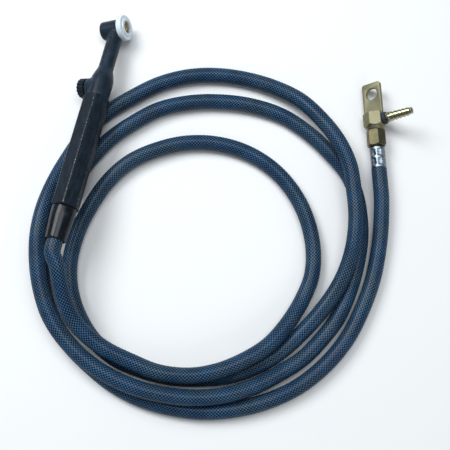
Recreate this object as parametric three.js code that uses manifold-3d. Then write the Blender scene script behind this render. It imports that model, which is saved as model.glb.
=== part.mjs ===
// TIG welding torch with a gas valve in its head, its gas hose with the power cable inside, and the
// cable connector on the far end. Millimetres, +Z up. The torch lies along +Y with its head at +Y, and
// the origin is on the floor under the middle of the torch.
import * as THREE from 'three';
import { mergeVertices } from 'three/addons/utils/BufferGeometryUtils.js';
import Module from 'manifold-3d';

const wasm = await Module();
wasm.setup();

// ---------------------------------------------------------------- driving dimensions
const GAP = 0.3; // clearance between pieces that touch
const FIT = 0.4; // radial clearance of a piece inside another

// placing of the torch
const MOUTH = new THREE.Vector3(4, -105, 40.5); // middle of the rear sleeve's mouth
const ROLL = THREE.MathUtils.degToRad(24); // the nozzle side is turned up
// The handle lies over the coil, and at this tilt the head's rear edge touches the floor.
const TILT = THREE.MathUtils.degToRad(7.903);

// handle and sleeve
const SLEEVE_LENGTH = 27.3;
const SLEEVE_WALL = 1.2; // at its mouth
const SLEEVE_SPIGOT = 8;
const HANDLE_LENGTH = 101.6;
const HANDLE_WALL = 1.6; // at the middle of a flat
const HANDLE_CORNER = 2.6; // corner radius of the hexagon
const HANDLE_END_CHAMFER = 2.2;
const HOSE_ROOM = 2.2; // between the hose and the handle's bore
const HANDLE_TURN = THREE.MathUtils.degToRad(2);

// moulded body
const BULB_STEP = 0.8; // the bulb is so much smaller than the handle
const BODY_SPIGOT = 12; // length that goes into the handle
const SHOULDER = 29; // from the handle's end to where the neck starts
const NECK_RADIUS = 6.3;
const HEAD_REACH = 71.3; // from the handle's end to the head's axis
const HEAD_ANGLE = THREE.MathUtils.degToRad(84); // between the neck's and the nozzle's direction
const HEAD_RADIUS = 8.2;
const HEAD_REAR = 14.3;
const HEAD_FRONT = 3.9;
const HEAD_RIM = 1.3; // radius of the head's rear edge
const NECK_PAD_DEPTH = 0.45;
const NECK_PAD_WIDTH = 4.4;
const NECK_TUBE_RADIUS = 2.8;

// head inserts
const CORE_RADIUS = 5.9;
const CORE_INSET = 0.8; // behind the head's rear face
const CORE_PASSAGE = 3.4;
const THREAD_ROOT = 5.05;
const THREAD_CREST = 4.6;
const THREAD_PITCH = 1.5;
const FRONT_TURNS = 4;
const REAR_TURNS = 3;
const GASKET_RADIUS = 11;
const GASKET_THICKNESS = 6;
const GASKET_BORE = 5.3;
const GASKET_LIP = 2.3;
const GASKET_STEP_RADIUS = 8;
const GASKET_STEP = 1;

// valve, measured outwards along its own axis
const VALVE_OFFSET = 10.7; // from the handle's end to the valve's axis
const BOSS_RADIUS = 8.6;
const BOSS_REACH = 11.6;
const CORE_BLOCK_RADIUS = 6;
const CORE_BLOCK_REAR = 4; // behind the handle's end
const CORE_BLOCK_FRONT = 24; // in front of the handle's end
const CHAMBER_RADIUS = 3.3;
const CHAMBER_FLOOR = -3.8;
const GLAND_SEAT = 8.2; // end of the block's side boss
const GLAND_WALL = 1.5; // of the block's side boss
const GLAND_SHOULDER = 0.8; // of the gland nut, around its thread
const PACKING_START = 4;
const PACKING_LENGTH = 1.6;
const SPINDLE_RADIUS = 1.5;
const SPINDLE_END = 17;
const SCREW_RADIUS = 0.65;
const SCREW_LENGTH = 4; // in the spindle
const SCREW_HEAD_RADIUS = 2.5;
const SEAT_HOLE = 1.3;
const SEAT_FACE = -0.3;
const SEAT_THICKNESS = 1.4;
const GAS_WAY = 0.9;
const KNOB_RADIUS = 8.65;
const KNOB_RIBS = 16;
const KNOB_LENGTH = 7.2;
const KNOB_GAP = 0.9; // between the boss and the knob when the valve is shut
const KNOB_GROOVE = 0.75;
const KNOB_SKIRT_WALL = 2.65;
const KNOB_SKIRT_DEPTH = 2.4;

// fittings in the handle
const STUB_RADIUS = 4.6;
const STUB_LENGTH = 15;
const TAIL_NUT_FLATS = 12.4;
const TAIL_NUT_OVERLAP = 6; // length of the nut behind the block's stub
const TAIL_NUT_FLOOR = 2.4;
const TAIL_FLANGE = 2.6;
const TAIL_STEM = 3.2;
const TAIL_STEM_BARE = 16.5; // between the hose's end and the nut
const TAIL_BORE = 1.9;
const SPIGOT_RADIUS = 3.9;
const SPIGOT_LENGTH = 22; // in the held hose
const HELD_HOSE_START = 1; // from the sleeve's mouth
const CRIMP_LENGTH = 18;
const CRIMP_WALL = 0.9;

// hose and cable
const HOSE_RADIUS = 6.5;
const HOSE_BORE = 4.8;
const CABLE_RADIUS = 2.5;
const CORD_STEPS = 80;
const HOSE_SIDES = 8;
const CABLE_SIDES = 8;
const CABLE_GRIP = 10; // length of cable in each spigot

// connector, measured from the hose's end
const HOSE_END = new THREE.Vector3(250.3, 13.3, 9.4);
const CONNECTOR_HEADING = THREE.MathUtils.degToRad(13.75);
const CONNECTOR_ROLL = THREE.MathUtils.degToRad(40);
const FERRULE_LENGTH = 18.2;
const FERRULE_RADIUS = 6.4;
const FERRULE_FLATS = 12.1; // across the flats that the crimping tool leaves
const NUT_FLATS = 14.5;
const NUT_START = 19.4;
const NUT_LENGTH = 14;
const NUT_FLOOR = 2.4;
const NUT_BORE = 5.6;
const NUT_HOLE = 4;
const CONE_LENGTH = 2.9;
const HEX_FLATS = 17;
const HEX_LENGTH = 12.2;
const MALE_RADIUS = 5.2;
const MALE_LENGTH = 9.5;
const LUG_LENGTH = 28.2;
const LUG_THICKNESS = 3.4;
const LUG_CORNER = 2.2;
const LUG_HOLE = 10.4; // diameter
const LUG_HOLE_MARGIN = 10; // from the hole's middle to the lug's end
const BARB_STUB_RADIUS = 2.7;
const BARB_STUB_START = 4.2; // from the block's axis
const BARB_COLLAR = 2.6;
const BARB_RIDGE = 0.9;
const SEAL_RADIUS = 5.2;
const SEAL_THICKNESS = 2.8;
const BARB_LENGTH = 22.8;
const BARB_RIDGES = 5;
const BARB_ROOT_RADIUS = 4.2;
const BARB_TIP_RADIUS = 3.5;

// places worked out from the sizes above, along the torch's axis from the sleeve's mouth
const SLEEVE_BORE = HOSE_RADIUS + 1.5 * FIT;
const SLEEVE_MOUTH_RADIUS = SLEEVE_BORE + SLEEVE_WALL;
const HANDLE_BORE = HOSE_RADIUS + HOSE_ROOM;
const HANDLE_FLATS = 2 * (HANDLE_BORE + HANDLE_WALL);
const BULB_RADIUS = HANDLE_FLATS / 2 - BULB_STEP;
const HANDLE_START = SLEEVE_LENGTH + GAP;
const HANDLE_END = HANDLE_START + HANDLE_LENGTH;
const JOINT = HANDLE_END + GAP;
const VALVE_Y = JOINT + VALVE_OFFSET;
const HEAD_Y = JOINT + HEAD_REACH;
const STUB_END = JOINT - CORE_BLOCK_REAR - STUB_LENGTH;
const TAIL_NUT_END = JOINT - BODY_SPIGOT - GAP;
const TAIL_NUT_START = STUB_END - TAIL_NUT_OVERLAP;
const HELD_HOSE_END = TAIL_NUT_START - TAIL_STEM_BARE;
const SPIGOT_START = HELD_HOSE_END - SPIGOT_LENGTH;
const GASKET_BACK = HEAD_FRONT + GAP;
const GASKET_FRONT = GASKET_BACK + GASKET_THICKNESS;
const CORE_FRONT = GASKET_FRONT - GASKET_LIP - GAP;
const CORE_BACK = -HEAD_REAR + CORE_INSET;
const HEAD_EDGE = Math.min(HEAD_RIM, (HEAD_RADIUS - CORE_RADIUS - GAP) * 0.65);
const BOSS_CORE_RADIUS = CHAMBER_RADIUS + GLAND_WALL;
const GLAND_FLATS = 2 * (CHAMBER_RADIUS + GLAND_SHOULDER);
const KNOB_START = BOSS_REACH + KNOB_GAP;
const KNOB_END = KNOB_START + KNOB_LENGTH;
const CONE_START = NUT_START + NUT_LENGTH + GAP;
const HEX_START = CONE_START + CONE_LENGTH;
const HEX_END = HEX_START + HEX_LENGTH;
const LUG_END = HEX_END + LUG_LENGTH;
const LUG_HOLE_Y = LUG_END - LUG_HOLE_MARGIN;
const BARB_Y = HEX_START + HEX_LENGTH / 2;


// The hose's way over the floor, from the rear sleeve round three and a half turns to the ferrule.
const HOSE_ROUTE = [
  [4.2, -115, 41.2], [10, -124, 40.8], [14.5, -136, 38], [22, -152, 33], [31.5, -164, 28.5],
  [44.5, -173, 24.5], [60, -180, 22], [80, -185, 20.5], [103, -189, 20], [127, -187, 20], [147, -180, 20],
  [165, -169, 19], [184, -152, 16.5], [197, -131, 12.5], [206, -108, 8.5], [210, -87, 7], [207, -64, 6.5],
  [197, -40, 6.5], [182, -20, 6.5], [162, -4, 6.5], [138, 6, 6.5], [112, 9, 6.5], [86, 5, 6.5],
  [63, -5, 6.5], [41, -21, 6.5], [26, -42, 6.5], [16, -68, 6.5], [11, -92, 6.5], [11, -116, 6.5],
  [17, -138, 6.5], [29, -158, 6.5], [45, -174, 6.5], [65, -185, 6.5], [89, -190, 6.5], [114, -191, 6.5],
  [138, -187, 6.5], [158, -181, 6.5], [176, -171, 7], [193, -157, 7.5], [209, -137, 8.5],
  [222, -116, 10.5], [232, -94, 13.5], [237, -73, 17], [238, -53, 19.5], [236, -33, 20], [231, -13, 20],
  [224, 8, 20], [211, 28, 19], [193, 46, 16], [174, 60, 12], [152, 68, 9], [126, 72, 7], [99, 71, 6.5],
  [74, 65, 6.5], [50, 53, 6.5], [28, 35, 6.5], [10, 17, 6.5], [-3, -5, 6.5], [-12, -31, 9],
  [-17, -56, 14], [-18.5, -79, 18.5], [-17, -101, 20], [-12, -122, 20], [-3, -144, 20], [9, -163, 20],
  [26, -179, 20], [47, -192, 20], [69, -200, 20], [89, -204, 20], [110, -205, 19.5], [133, -203, 18],
  [157, -196.5, 15], [179, -185.5, 11], [198, -171, 8], [214, -156, 7], [226, -139, 6.5],
  [236, -120, 6.5], [242, -98, 6.5], [245, -74, 6.5], [245, -50, 6.5], [241, -29, 6.5], [234, -10, 6.5],
  [224, 5, 6.5], [208, 19, 6.5], [186, 34, 6.5], [161, 45, 6.5], [132, 49, 6.5], [104, 47, 6.5],
  [79, 41, 6.5], [55, 30, 6.5], [36, 14, 6.5], [19, -5, 6.5], [6, -28, 6.5], [-3, -54, 6.5],
  [-10, -78, 6.5], [-13, -102, 6.5], [-11, -124, 6.5], [-4, -144, 6.5], [9, -165, 6.5], [27, -182, 6.5],
  [49, -196, 6.5], [70, -206, 6.5], [92, -212, 6.5], [117, -214, 6.5], [144, -212, 6.5], [172, -204, 6.5],
  [196, -192, 6.5], [217, -176, 6.5], [234, -156, 6.5], [247, -133, 6.5], [255, -108, 6.5],
  [260, -82, 6.5], [261, -56, 7], [259.5, -33, 8], [256.3, -11.5, 9.1], [253.3, 1, 9.4],
];

// ---------------------------------------------------------------- finishes
function finish(color, roughness, metalness) {
  return new THREE.MeshStandardMaterial({ color, roughness, metalness });
}

const BLACK_RUBBER = finish(0x2b3033, 0.6, 0);
const BLACK_PLASTIC = finish(0x24282b, 0.5, 0);
const SHINY_SLEEVE = finish(0x1f2427, 0.25, 0);
const WHITE_PTFE = finish(0xe9ecee, 0.45, 0);
const BRASS = finish(0xb5a265, 0.35, 1);
const COPPER = finish(0xb87345, 0.35, 1);
const SILVER = finish(0xc4ccd2, 0.3, 1);
const STEEL = finish(0x8f949a, 0.35, 1);
const BLUE_BRAID = finish(0x2f4a68, 0.6, 0);
const BLUE_GREY = finish(0x3c4a58, 0.5, 0);
const SEAL_BLACK = finish(0x1a1a1a, 0.7, 0);

// ---------------------------------------------------------------- shape helpers
// A closed three.js geometry as a solid, with its faces turned outwards.
function solid(geometry) {
  const bare = geometry.clone();
  bare.deleteAttribute('normal');
  bare.deleteAttribute('uv');
  const merged = mergeVertices(bare, 1e-4);
  const vertProperties = new Float32Array(merged.attributes.position.array);
  const index = merged.index.array;
  const triangles = [];
  let volume = 0;
  const [a, b, c] = [new THREE.Vector3(), new THREE.Vector3(), new THREE.Vector3()];
  for (let i = 0; i < index.length; i += 3) {
    const [p, q, r] = [index[i], index[i + 1], index[i + 2]];
    if (p === q || q === r || r === p) continue;
    triangles.push([p, q, r]);
    a.fromArray(vertProperties, p * 3);
    b.fromArray(vertProperties, q * 3);
    c.fromArray(vertProperties, r * 3);
    volume += a.dot(b.cross(c));
  }
  const outward = volume > 0 ? triangles : triangles.map(([p, q, r]) => [p, r, q]);
  const triVerts = new Uint32Array(outward.flat());
  return new wasm.Manifold(new wasm.Mesh({ numProp: 3, vertProperties, triVerts }));
}

// A named mesh made from a solid.
function piece(name, shape, material) {
  const { vertProperties, triVerts } = shape.getMesh();
  const geometry = new THREE.BufferGeometry();
  geometry.setAttribute('position', new THREE.BufferAttribute(new Float32Array(vertProperties), 3));
  geometry.setIndex(new THREE.BufferAttribute(new Uint32Array(triVerts), 1));
  geometry.computeVertexNormals();
  const mesh = new THREE.Mesh(geometry, material);
  mesh.name = name;
  return mesh;
}

// A turned shape about the Y axis. The profile's points are [radius, y]. It starts and ends on the axis.
function turned(profile, segments = 24) {
  return new THREE.LatheGeometry(profile.map(([r, y]) => new THREE.Vector2(r, y)), segments);
}

// A turned ring: a profile that stays off the axis and closes on itself.
function turnedRing(profile, segments = 24) {
  return turned([...profile, profile[0]], segments);
}

function rod(radius, from, to, segments = 24) {
  return turned([[0, from], [radius, from], [radius, to], [0, to]], segments);
}

function tube(outer, inner, from, to, segments = 24) {
  return turnedRing([[inner, from], [outer, from], [outer, to], [inner, to]], segments);
}

// A hexagonal bar along Y with a corner towards +Z and one towards -Z.
function hexBar(flats, from, to) {
  const shape = new THREE.Shape();
  for (let i = 0; i < 6; i += 1) {
    const angle = (i * Math.PI) / 3 + Math.PI / 2;
    const corner = flats / Math.sqrt(3);
    shape[i ? 'lineTo' : 'moveTo'](corner * Math.cos(angle), corner * Math.sin(angle));
  }
  shape.closePath();
  return alongY(new THREE.ExtrudeGeometry(shape, { depth: to - from, bevelEnabled: false }), from);
}

// Turns an extrusion along Z into one along +Y that starts at the given place. Its +Y side goes to -Z.
function alongY(geometry, from) {
  return geometry.rotateX(-Math.PI / 2).translate(0, from, 0);
}

const box = (x, y, z, w, d, h) => new THREE.BoxGeometry(w, d, h).translate(x, y, z);

// Their own Y axis goes to the nozzle, out to the valve's knob, and out along the connector's side barb.
const toHead = (geometry) => geometry.rotateZ(-HEAD_ANGLE).translate(0, HEAD_Y, 0);
const toValve = (geometry) => geometry.rotateZ(Math.PI / 2).translate(0, VALVE_Y, 0);
const toSide = (geometry) => geometry.rotateZ(-Math.PI / 2).translate(0, BARB_Y, 0);

// ---------------------------------------------------------------- handle and sleeve
function rearSleeve() {
  const front = HANDLE_FLATS / 2 - 0.2;
  const spigot = HANDLE_BORE - GAP;
  return piece('rear_sleeve', solid(turnedRing([
    [SLEEVE_BORE + 0.3, 0], [SLEEVE_MOUTH_RADIUS - 0.4, 0], [SLEEVE_MOUTH_RADIUS, 0.5],
    [front - 0.3, SLEEVE_LENGTH * 0.75], [front, SLEEVE_LENGTH], [spigot, SLEEVE_LENGTH],
    [spigot, SLEEVE_LENGTH + SLEEVE_SPIGOT], [SLEEVE_BORE, SLEEVE_LENGTH + SLEEVE_SPIGOT], [SLEEVE_BORE, 0.4],
  ], 32)), SHINY_SLEEVE);
}

// The outline of the handle: a hexagon with rounded corners.
function handleOutline() {
  const shape = new THREE.Shape();
  const centre = (HANDLE_FLATS / 2 - HANDLE_CORNER) / Math.cos(Math.PI / 6);
  for (let i = 0; i < 6; i += 1) {
    const angle = (i * Math.PI) / 3 + Math.PI / 2;
    const [x, y] = [centre * Math.cos(angle), centre * Math.sin(angle)];
    shape.absarc(x, y, HANDLE_CORNER, angle - Math.PI / 6, angle + Math.PI / 6, false);
  }
  return shape;
}

function handle() {
  const options = { depth: HANDLE_LENGTH, bevelEnabled: false, curveSegments: 5 };
  const bar = solid(alongY(new THREE.ExtrudeGeometry(handleOutline(), options), HANDLE_START));
  const reach = HANDLE_FLATS / Math.sqrt(3) + 1;
  const face = reach - 0.85 * HANDLE_END_CHAMFER;
  const rounded = solid(turned([
    [0, HANDLE_START], [face, HANDLE_START], [reach, HANDLE_START + HANDLE_END_CHAMFER],
    [reach, HANDLE_END - HANDLE_END_CHAMFER], [face, HANDLE_END], [0, HANDLE_END],
  ], 48));
  const bore = solid(rod(HANDLE_BORE, HANDLE_START - 1, HANDLE_END + 1, 40));
  const mesh = piece('handle', bar.intersect(rounded).subtract(bore), BLACK_PLASTIC);
  mesh.rotation.y = HANDLE_TURN;
  return mesh;
}

// ---------------------------------------------------------------- moulded body and its inserts
function bulbAndNeck() {
  const spigot = HANDLE_BORE - GAP;
  return turned([
    [0, JOINT - BODY_SPIGOT], [spigot, JOINT - BODY_SPIGOT], [spigot, JOINT],
    [BULB_RADIUS - 0.5, JOINT], [BULB_RADIUS - 0.2, JOINT + 1], [BULB_RADIUS, JOINT + SHOULDER * 0.4],
    [BULB_RADIUS - 0.1, JOINT + SHOULDER * 0.55], [BULB_RADIUS - 0.9, JOINT + SHOULDER * 0.72],
    [NECK_RADIUS + 0.8, JOINT + SHOULDER * 0.9], [NECK_RADIUS + 0.1, JOINT + SHOULDER],
    [NECK_RADIUS, JOINT + SHOULDER + 3], [NECK_RADIUS, HEAD_Y], [0, HEAD_Y],
  ], 28);
}

// The web that fairs the valve boss into the neck's shoulder.
function bossWeb() {
  const shape = new THREE.Shape();
  shape.moveTo(0, JOINT + 3);
  shape.lineTo(0, JOINT + SHOULDER);
  shape.lineTo(-NECK_RADIUS + 1.6, JOINT + SHOULDER - 0.5);
  shape.lineTo(-BOSS_REACH + 2.4, VALVE_Y + BOSS_RADIUS - 2.6);
  shape.lineTo(-BOSS_REACH + 2.4, VALVE_Y - BOSS_RADIUS + 3);
  shape.closePath();
  const bevel = { bevelThickness: 2.2, bevelSize: 2, bevelSegments: 2 };
  const thickness = 7;
  return new THREE.ExtrudeGeometry(shape, { depth: thickness, ...bevel }).translate(0, 0, -thickness / 2);
}

function valveBoss() {
  return toValve(turned([
    [0, 0], [BULB_RADIUS, 0], [BOSS_RADIUS + 0.4, BOSS_REACH * 0.6], [BOSS_RADIUS, BOSS_REACH - 0.8],
    [BOSS_RADIUS - 0.8, BOSS_REACH], [0, BOSS_REACH],
  ], 28));
}

function headBarrel() {
  const rim = [0, 30, 60, 90].map((degrees) => {
    const angle = THREE.MathUtils.degToRad(degrees);
    const out = HEAD_RADIUS - HEAD_EDGE + HEAD_EDGE * Math.sin(angle);
    return [out, -HEAD_REAR + HEAD_EDGE - HEAD_EDGE * Math.cos(angle)];
  });
  return toHead(turned([[0, -HEAD_REAR], ...rim, [HEAD_RADIUS, HEAD_FRONT], [0, HEAD_FRONT]], 28));
}

// A long shallow recess on each flat side of the neck.
function neckPads() {
  const [from, to, half] = [JOINT + SHOULDER + 7, HEAD_Y - HEAD_RADIUS - 5, NECK_PAD_WIDTH / 2];
  const shape = new THREE.Shape();
  shape.absarc(0, to - half, half, 0, Math.PI, false);
  shape.absarc(0, from + half, half, Math.PI, Math.PI * 2, false);
  const cut = new THREE.ExtrudeGeometry(shape, { depth: 3, bevelEnabled: false, curveSegments: 6 });
  const level = NECK_RADIUS - NECK_PAD_DEPTH;
  return solid(cut.clone().translate(0, 0, level)).add(solid(cut.translate(0, 0, -level - 3)));
}

function torchBody() {
  const outside = solid(bulbAndNeck()).add(solid(valveBoss())).add(solid(bossWeb())).add(solid(headBarrel()));
  const hollows = solid(toHead(rod(CORE_RADIUS + GAP, -HEAD_REAR - 1, HEAD_FRONT + 1)))
    .add(solid(rod(CORE_BLOCK_RADIUS + GAP, JOINT - BODY_SPIGOT - 1, JOINT + CORE_BLOCK_FRONT + GAP)))
    .add(solid(rod(NECK_TUBE_RADIUS + GAP, JOINT + CORE_BLOCK_FRONT, HEAD_Y, 20)))
    .add(solid(toValve(rod(BOSS_CORE_RADIUS + GAP, 0, BOSS_REACH + 1))))
    .add(solid(toHead(rod(GASKET_RADIUS + FIT, HEAD_FRONT, GASKET_FRONT + 1))));
  return piece('torch_body', outside.subtract(hollows).subtract(neckPads()), BLACK_RUBBER);
}

// Rings of a thread on a bore, from one end to the other.
function threadProfile(from, to, turns) {
  const step = (to - from) / turns;
  return Array.from({ length: turns }, (_, i) => [
    [THREAD_CREST, from + step * i], [THREAD_CREST, from + step * (i + 0.25)],
    [THREAD_ROOT, from + step * (i + 0.6)],
  ]).flat().concat([[THREAD_CREST, to]]);
}

function headCore() {
  const frontEnd = CORE_FRONT - 0.6 - FRONT_TURNS * THREAD_PITCH;
  const rearEnd = CORE_BACK + 0.6 + REAR_TURNS * THREAD_PITCH;
  const front = threadProfile(CORE_FRONT - 0.6, frontEnd, FRONT_TURNS);
  const back = threadProfile(rearEnd, CORE_BACK + 0.6, REAR_TURNS);
  const mesh = piece('head_core', solid(turnedRing([
    [CORE_RADIUS - 0.4, CORE_BACK], [CORE_RADIUS, CORE_BACK + 0.4], [CORE_RADIUS, CORE_FRONT - 0.3],
    [CORE_RADIUS - 0.3, CORE_FRONT], [THREAD_ROOT, CORE_FRONT], ...front,
    [CORE_PASSAGE, frontEnd - 1], [CORE_PASSAGE, rearEnd + 1],
    ...back, [THREAD_ROOT, CORE_BACK],
  ], 24)), BRASS);
  return inHead(mesh);
}

function gasket() {
  const edge = 0.9;
  return inHead(piece('gasket', solid(turnedRing([
    [CORE_RADIUS + GAP, GASKET_BACK], [GASKET_RADIUS - edge, GASKET_BACK],
    [GASKET_RADIUS, GASKET_BACK + edge],
    [GASKET_RADIUS, GASKET_FRONT - GASKET_STEP - 2 * edge],
    [GASKET_RADIUS - 0.3 * edge, GASKET_FRONT - GASKET_STEP - 0.9 * edge],
    [GASKET_RADIUS - edge, GASKET_FRONT - GASKET_STEP - 0.2],
    [GASKET_STEP_RADIUS + 0.1, GASKET_FRONT - GASKET_STEP], [GASKET_STEP_RADIUS, GASKET_FRONT - 0.3],
    [GASKET_STEP_RADIUS - 0.3, GASKET_FRONT], [GASKET_BORE + 0.4, GASKET_FRONT],
    [GASKET_BORE, GASKET_FRONT - 0.4], [GASKET_BORE, GASKET_FRONT - GASKET_LIP],
    [CORE_RADIUS + GAP, GASKET_FRONT - GASKET_LIP],
  ], 36)), WHITE_PTFE));
}

// Puts a mesh made about its own Y axis on the head's axis, with +Y to the nozzle.
function inHead(mesh) {
  mesh.position.y = HEAD_Y;
  mesh.rotation.z = -HEAD_ANGLE;
  return mesh;
}

// Puts a mesh made about its own Y axis on the valve's axis, with +Y out to the knob.
function inValve(mesh) {
  mesh.position.y = VALVE_Y;
  mesh.rotation.z = Math.PI / 2;
  return mesh;
}

function neckTube() {
  const end = HEAD_Y - (CORE_RADIUS + GAP) / Math.sin(HEAD_ANGLE) - NECK_TUBE_RADIUS / Math.tan(HEAD_ANGLE);
  const start = JOINT + CORE_BLOCK_FRONT + GAP;
  return piece('neck_tube', solid(tube(NECK_TUBE_RADIUS, TAIL_BORE, start, end, 20)), COPPER);
}

// ---------------------------------------------------------------- valve
function valveBlock() {
  const rear = JOINT - CORE_BLOCK_REAR;
  const front = JOINT + CORE_BLOCK_FRONT;
  const shape = solid(turned([
    [0, STUB_END], [STUB_RADIUS - 0.4, STUB_END], [STUB_RADIUS, STUB_END + 0.5], [STUB_RADIUS, rear],
    [CORE_BLOCK_RADIUS, rear], [CORE_BLOCK_RADIUS, front], [0, front],
  ])).add(solid(toValve(rod(BOSS_CORE_RADIUS, 0, GLAND_SEAT))));
  const inlet = rod(GAS_WAY, rear - 2, VALVE_Y, 12).translate(CHAMBER_RADIUS - 0.5, 0, 0);
  const outlet = rod(GAS_WAY, VALVE_Y, front + 1, 12).translate(-GAS_WAY, 0, 0);
  const chamber = toValve(rod(CHAMBER_RADIUS, CHAMBER_FLOOR, GLAND_SEAT + 1, 24));
  const mouth = rod(STUB_RADIUS - 0.9, STUB_END - 1, rear - 1, 24);
  const cuts = solid(inlet).add(solid(outlet)).add(solid(chamber)).add(solid(mouth));
  return piece('valve_block', shape.subtract(cuts), BRASS);
}

function valveSeat() {
  const ring = tube(CHAMBER_RADIUS - GAP, SEAT_HOLE, SEAT_FACE - SEAT_THICKNESS, SEAT_FACE, 24);
  return inValve(piece('valve_seat', solid(ring), WHITE_PTFE));
}

function valvePacking() {
  const end = PACKING_START + PACKING_LENGTH;
  const ring = tube(CHAMBER_RADIUS - GAP, SPINDLE_RADIUS + GAP, PACKING_START, end, 24);
  return inValve(piece('valve_packing', solid(ring), SEAL_BLACK));
}

function glandNut() {
  const end = PACKING_START + PACKING_LENGTH + GAP;
  const head = solid(hexBar(GLAND_FLATS, GLAND_SEAT + GAP, BOSS_REACH - 0.8));
  const thread = solid(rod(CHAMBER_RADIUS - GAP, end, GLAND_SEAT + 2 * GAP, 24));
  const bore = solid(rod(SPINDLE_RADIUS + GAP, end - 1, BOSS_REACH + 1, 20));
  return inValve(piece('gland_nut', head.add(thread).subtract(bore), BRASS));
}

function valveNeedle() {
  const tip = SEAT_FACE + GAP;
  const shape = solid(turned([
    [0, tip - 0.9], [SEAT_HOLE - 0.5, tip - 0.7], [SPINDLE_RADIUS, tip + 0.5],
    [SPINDLE_RADIUS, SPINDLE_END - 0.3], [SPINDLE_RADIUS - 0.3, SPINDLE_END], [0, SPINDLE_END],
  ], 20));
  const screwHole = solid(rod(SCREW_RADIUS + GAP, SPINDLE_END - SCREW_LENGTH - 1, SPINDLE_END + 1, 14));
  return inValve(piece('valve_needle', shape.subtract(screwHole), BRASS));
}

// The outline of the knob: ribs with narrow grooves between them.
function knobOutline() {
  const shape = new THREE.Shape();
  const pitch = (Math.PI * 2) / KNOB_RIBS;
  const groove = KNOB_RADIUS - KNOB_GROOVE;
  const rib = [[KNOB_RADIUS, 0.12], [KNOB_RADIUS, 0.4], [KNOB_RADIUS, 0.68], [groove, 0.82], [groove, 0.98]];
  for (let i = 0; i < KNOB_RIBS; i += 1) {
    rib.forEach(([radius, share], k) => {
      const angle = (i + share) * pitch;
      shape[i || k ? 'lineTo' : 'moveTo'](radius * Math.cos(angle), radius * Math.sin(angle));
    });
  }
  shape.closePath();
  return shape;
}

function valveKnob() {
  const bar = new THREE.ExtrudeGeometry(knobOutline(), { depth: KNOB_LENGTH, bevelEnabled: false });
  const crown = turned([
    [0, KNOB_START], [KNOB_RADIUS - 0.5, KNOB_START], [KNOB_RADIUS + 0.1, KNOB_START + 0.6],
    [KNOB_RADIUS + 0.1, KNOB_END - 1.6], [KNOB_RADIUS - 0.6, KNOB_END - 0.5], [KNOB_RADIUS - 1.8, KNOB_END],
    [0, KNOB_END],
  ], 24);
  const bore = solid(rod(SPINDLE_RADIUS + GAP, KNOB_START - 1, KNOB_END + 1, 20));
  const skirt = solid(rod(KNOB_RADIUS - KNOB_SKIRT_WALL, KNOB_START - 1, KNOB_START + KNOB_SKIRT_DEPTH));
  const recess = solid(rod(SCREW_HEAD_RADIUS + FIT, SPINDLE_END + GAP, KNOB_END + 1, 24));
  const shape = solid(alongY(bar, KNOB_START)).intersect(solid(crown));
  return inValve(piece('valve_knob', shape.subtract(bore).subtract(skirt).subtract(recess), BLACK_PLASTIC));
}

function knobScrew() {
  const [tip, under, top] = [SPINDLE_END - SCREW_LENGTH, SPINDLE_END + 2 * GAP, KNOB_END - 0.3];
  const head = solid(turned([
    [0, tip], [SCREW_RADIUS, tip], [SCREW_RADIUS, under], [SCREW_HEAD_RADIUS, under],
    [SCREW_HEAD_RADIUS, top - 0.6], [SCREW_HEAD_RADIUS - 0.5, top], [0, top],
  ], 24));
  const slot = solid(box(0, KNOB_END, 0, 6, 1.8, 0.6));
  return inValve(piece('knob_screw', head.subtract(slot), STEEL));
}

// ---------------------------------------------------------------- fittings in the handle
function torchTail() {
  const end = STUB_END - GAP;
  const step = end - TAIL_FLANGE;
  const start = SPIGOT_START;
  const shape = solid(turned([
    [0, start], [SPIGOT_RADIUS - 0.5, start], [SPIGOT_RADIUS, start + 1.5],
    [SPIGOT_RADIUS, HELD_HOSE_END - 1],
    [TAIL_STEM, HELD_HOSE_END + 1], [TAIL_STEM, step], [STUB_RADIUS - 0.1, step],
    [STUB_RADIUS - 0.1, end], [0, end],
  ], 28));
  const bore = solid(rod(TAIL_BORE, start - 1, end + 1, 20));
  const cup = solid(rod(CABLE_RADIUS + GAP, start - 1, start + CABLE_GRIP + GAP, 20));
  const across = rod(GAS_WAY, -SPIGOT_RADIUS - 1, SPIGOT_RADIUS + 1, 12).rotateX(Math.PI / 2);
  const sideHole = solid(across.translate(0, start + CABLE_GRIP + 4, 0));
  return piece('torch_tail', shape.subtract(bore).subtract(cup).subtract(sideHole), BRASS);
}

function tailNut() {
  const bar = solid(hexBar(TAIL_NUT_FLATS, TAIL_NUT_START, TAIL_NUT_END));
  const thread = solid(rod(STUB_RADIUS + GAP, TAIL_NUT_START + TAIL_NUT_FLOOR, TAIL_NUT_END + 1, 28));
  const hole = solid(rod(TAIL_STEM + GAP, TAIL_NUT_START - 1, TAIL_NUT_START + TAIL_NUT_FLOOR + 1, 28));
  return piece('tail_nut', bar.subtract(thread).subtract(hole), BRASS);
}

function torchFerrule() {
  const inner = HOSE_RADIUS + GAP;
  const ring = tube(inner + CRIMP_WALL, inner, HELD_HOSE_END - CRIMP_LENGTH, HELD_HOSE_END, 32);
  return piece('torch_ferrule', solid(ring), SILVER);
}

function heldHose() {
  const shape = solid(tube(HOSE_RADIUS, HOSE_BORE, HELD_HOSE_START, HELD_HOSE_END, 28));
  return piece('held_hose', shape, BLUE_BRAID);
}

// ---------------------------------------------------------------- hose and cable
// A place on the torch's axis, so far from the sleeve's mouth.
function onTorchAxis(distance) {
  return new THREE.Vector3(0, distance * Math.cos(TILT), -distance * Math.sin(TILT)).add(MOUTH);
}

// A place on the connector's axis, so far from the hose's end.
function onConnectorAxis(distance) {
  const forward = new THREE.Vector3(-Math.sin(CONNECTOR_HEADING), Math.cos(CONNECTOR_HEADING), 0);
  return forward.multiplyScalar(distance).add(HOSE_END);
}

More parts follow.
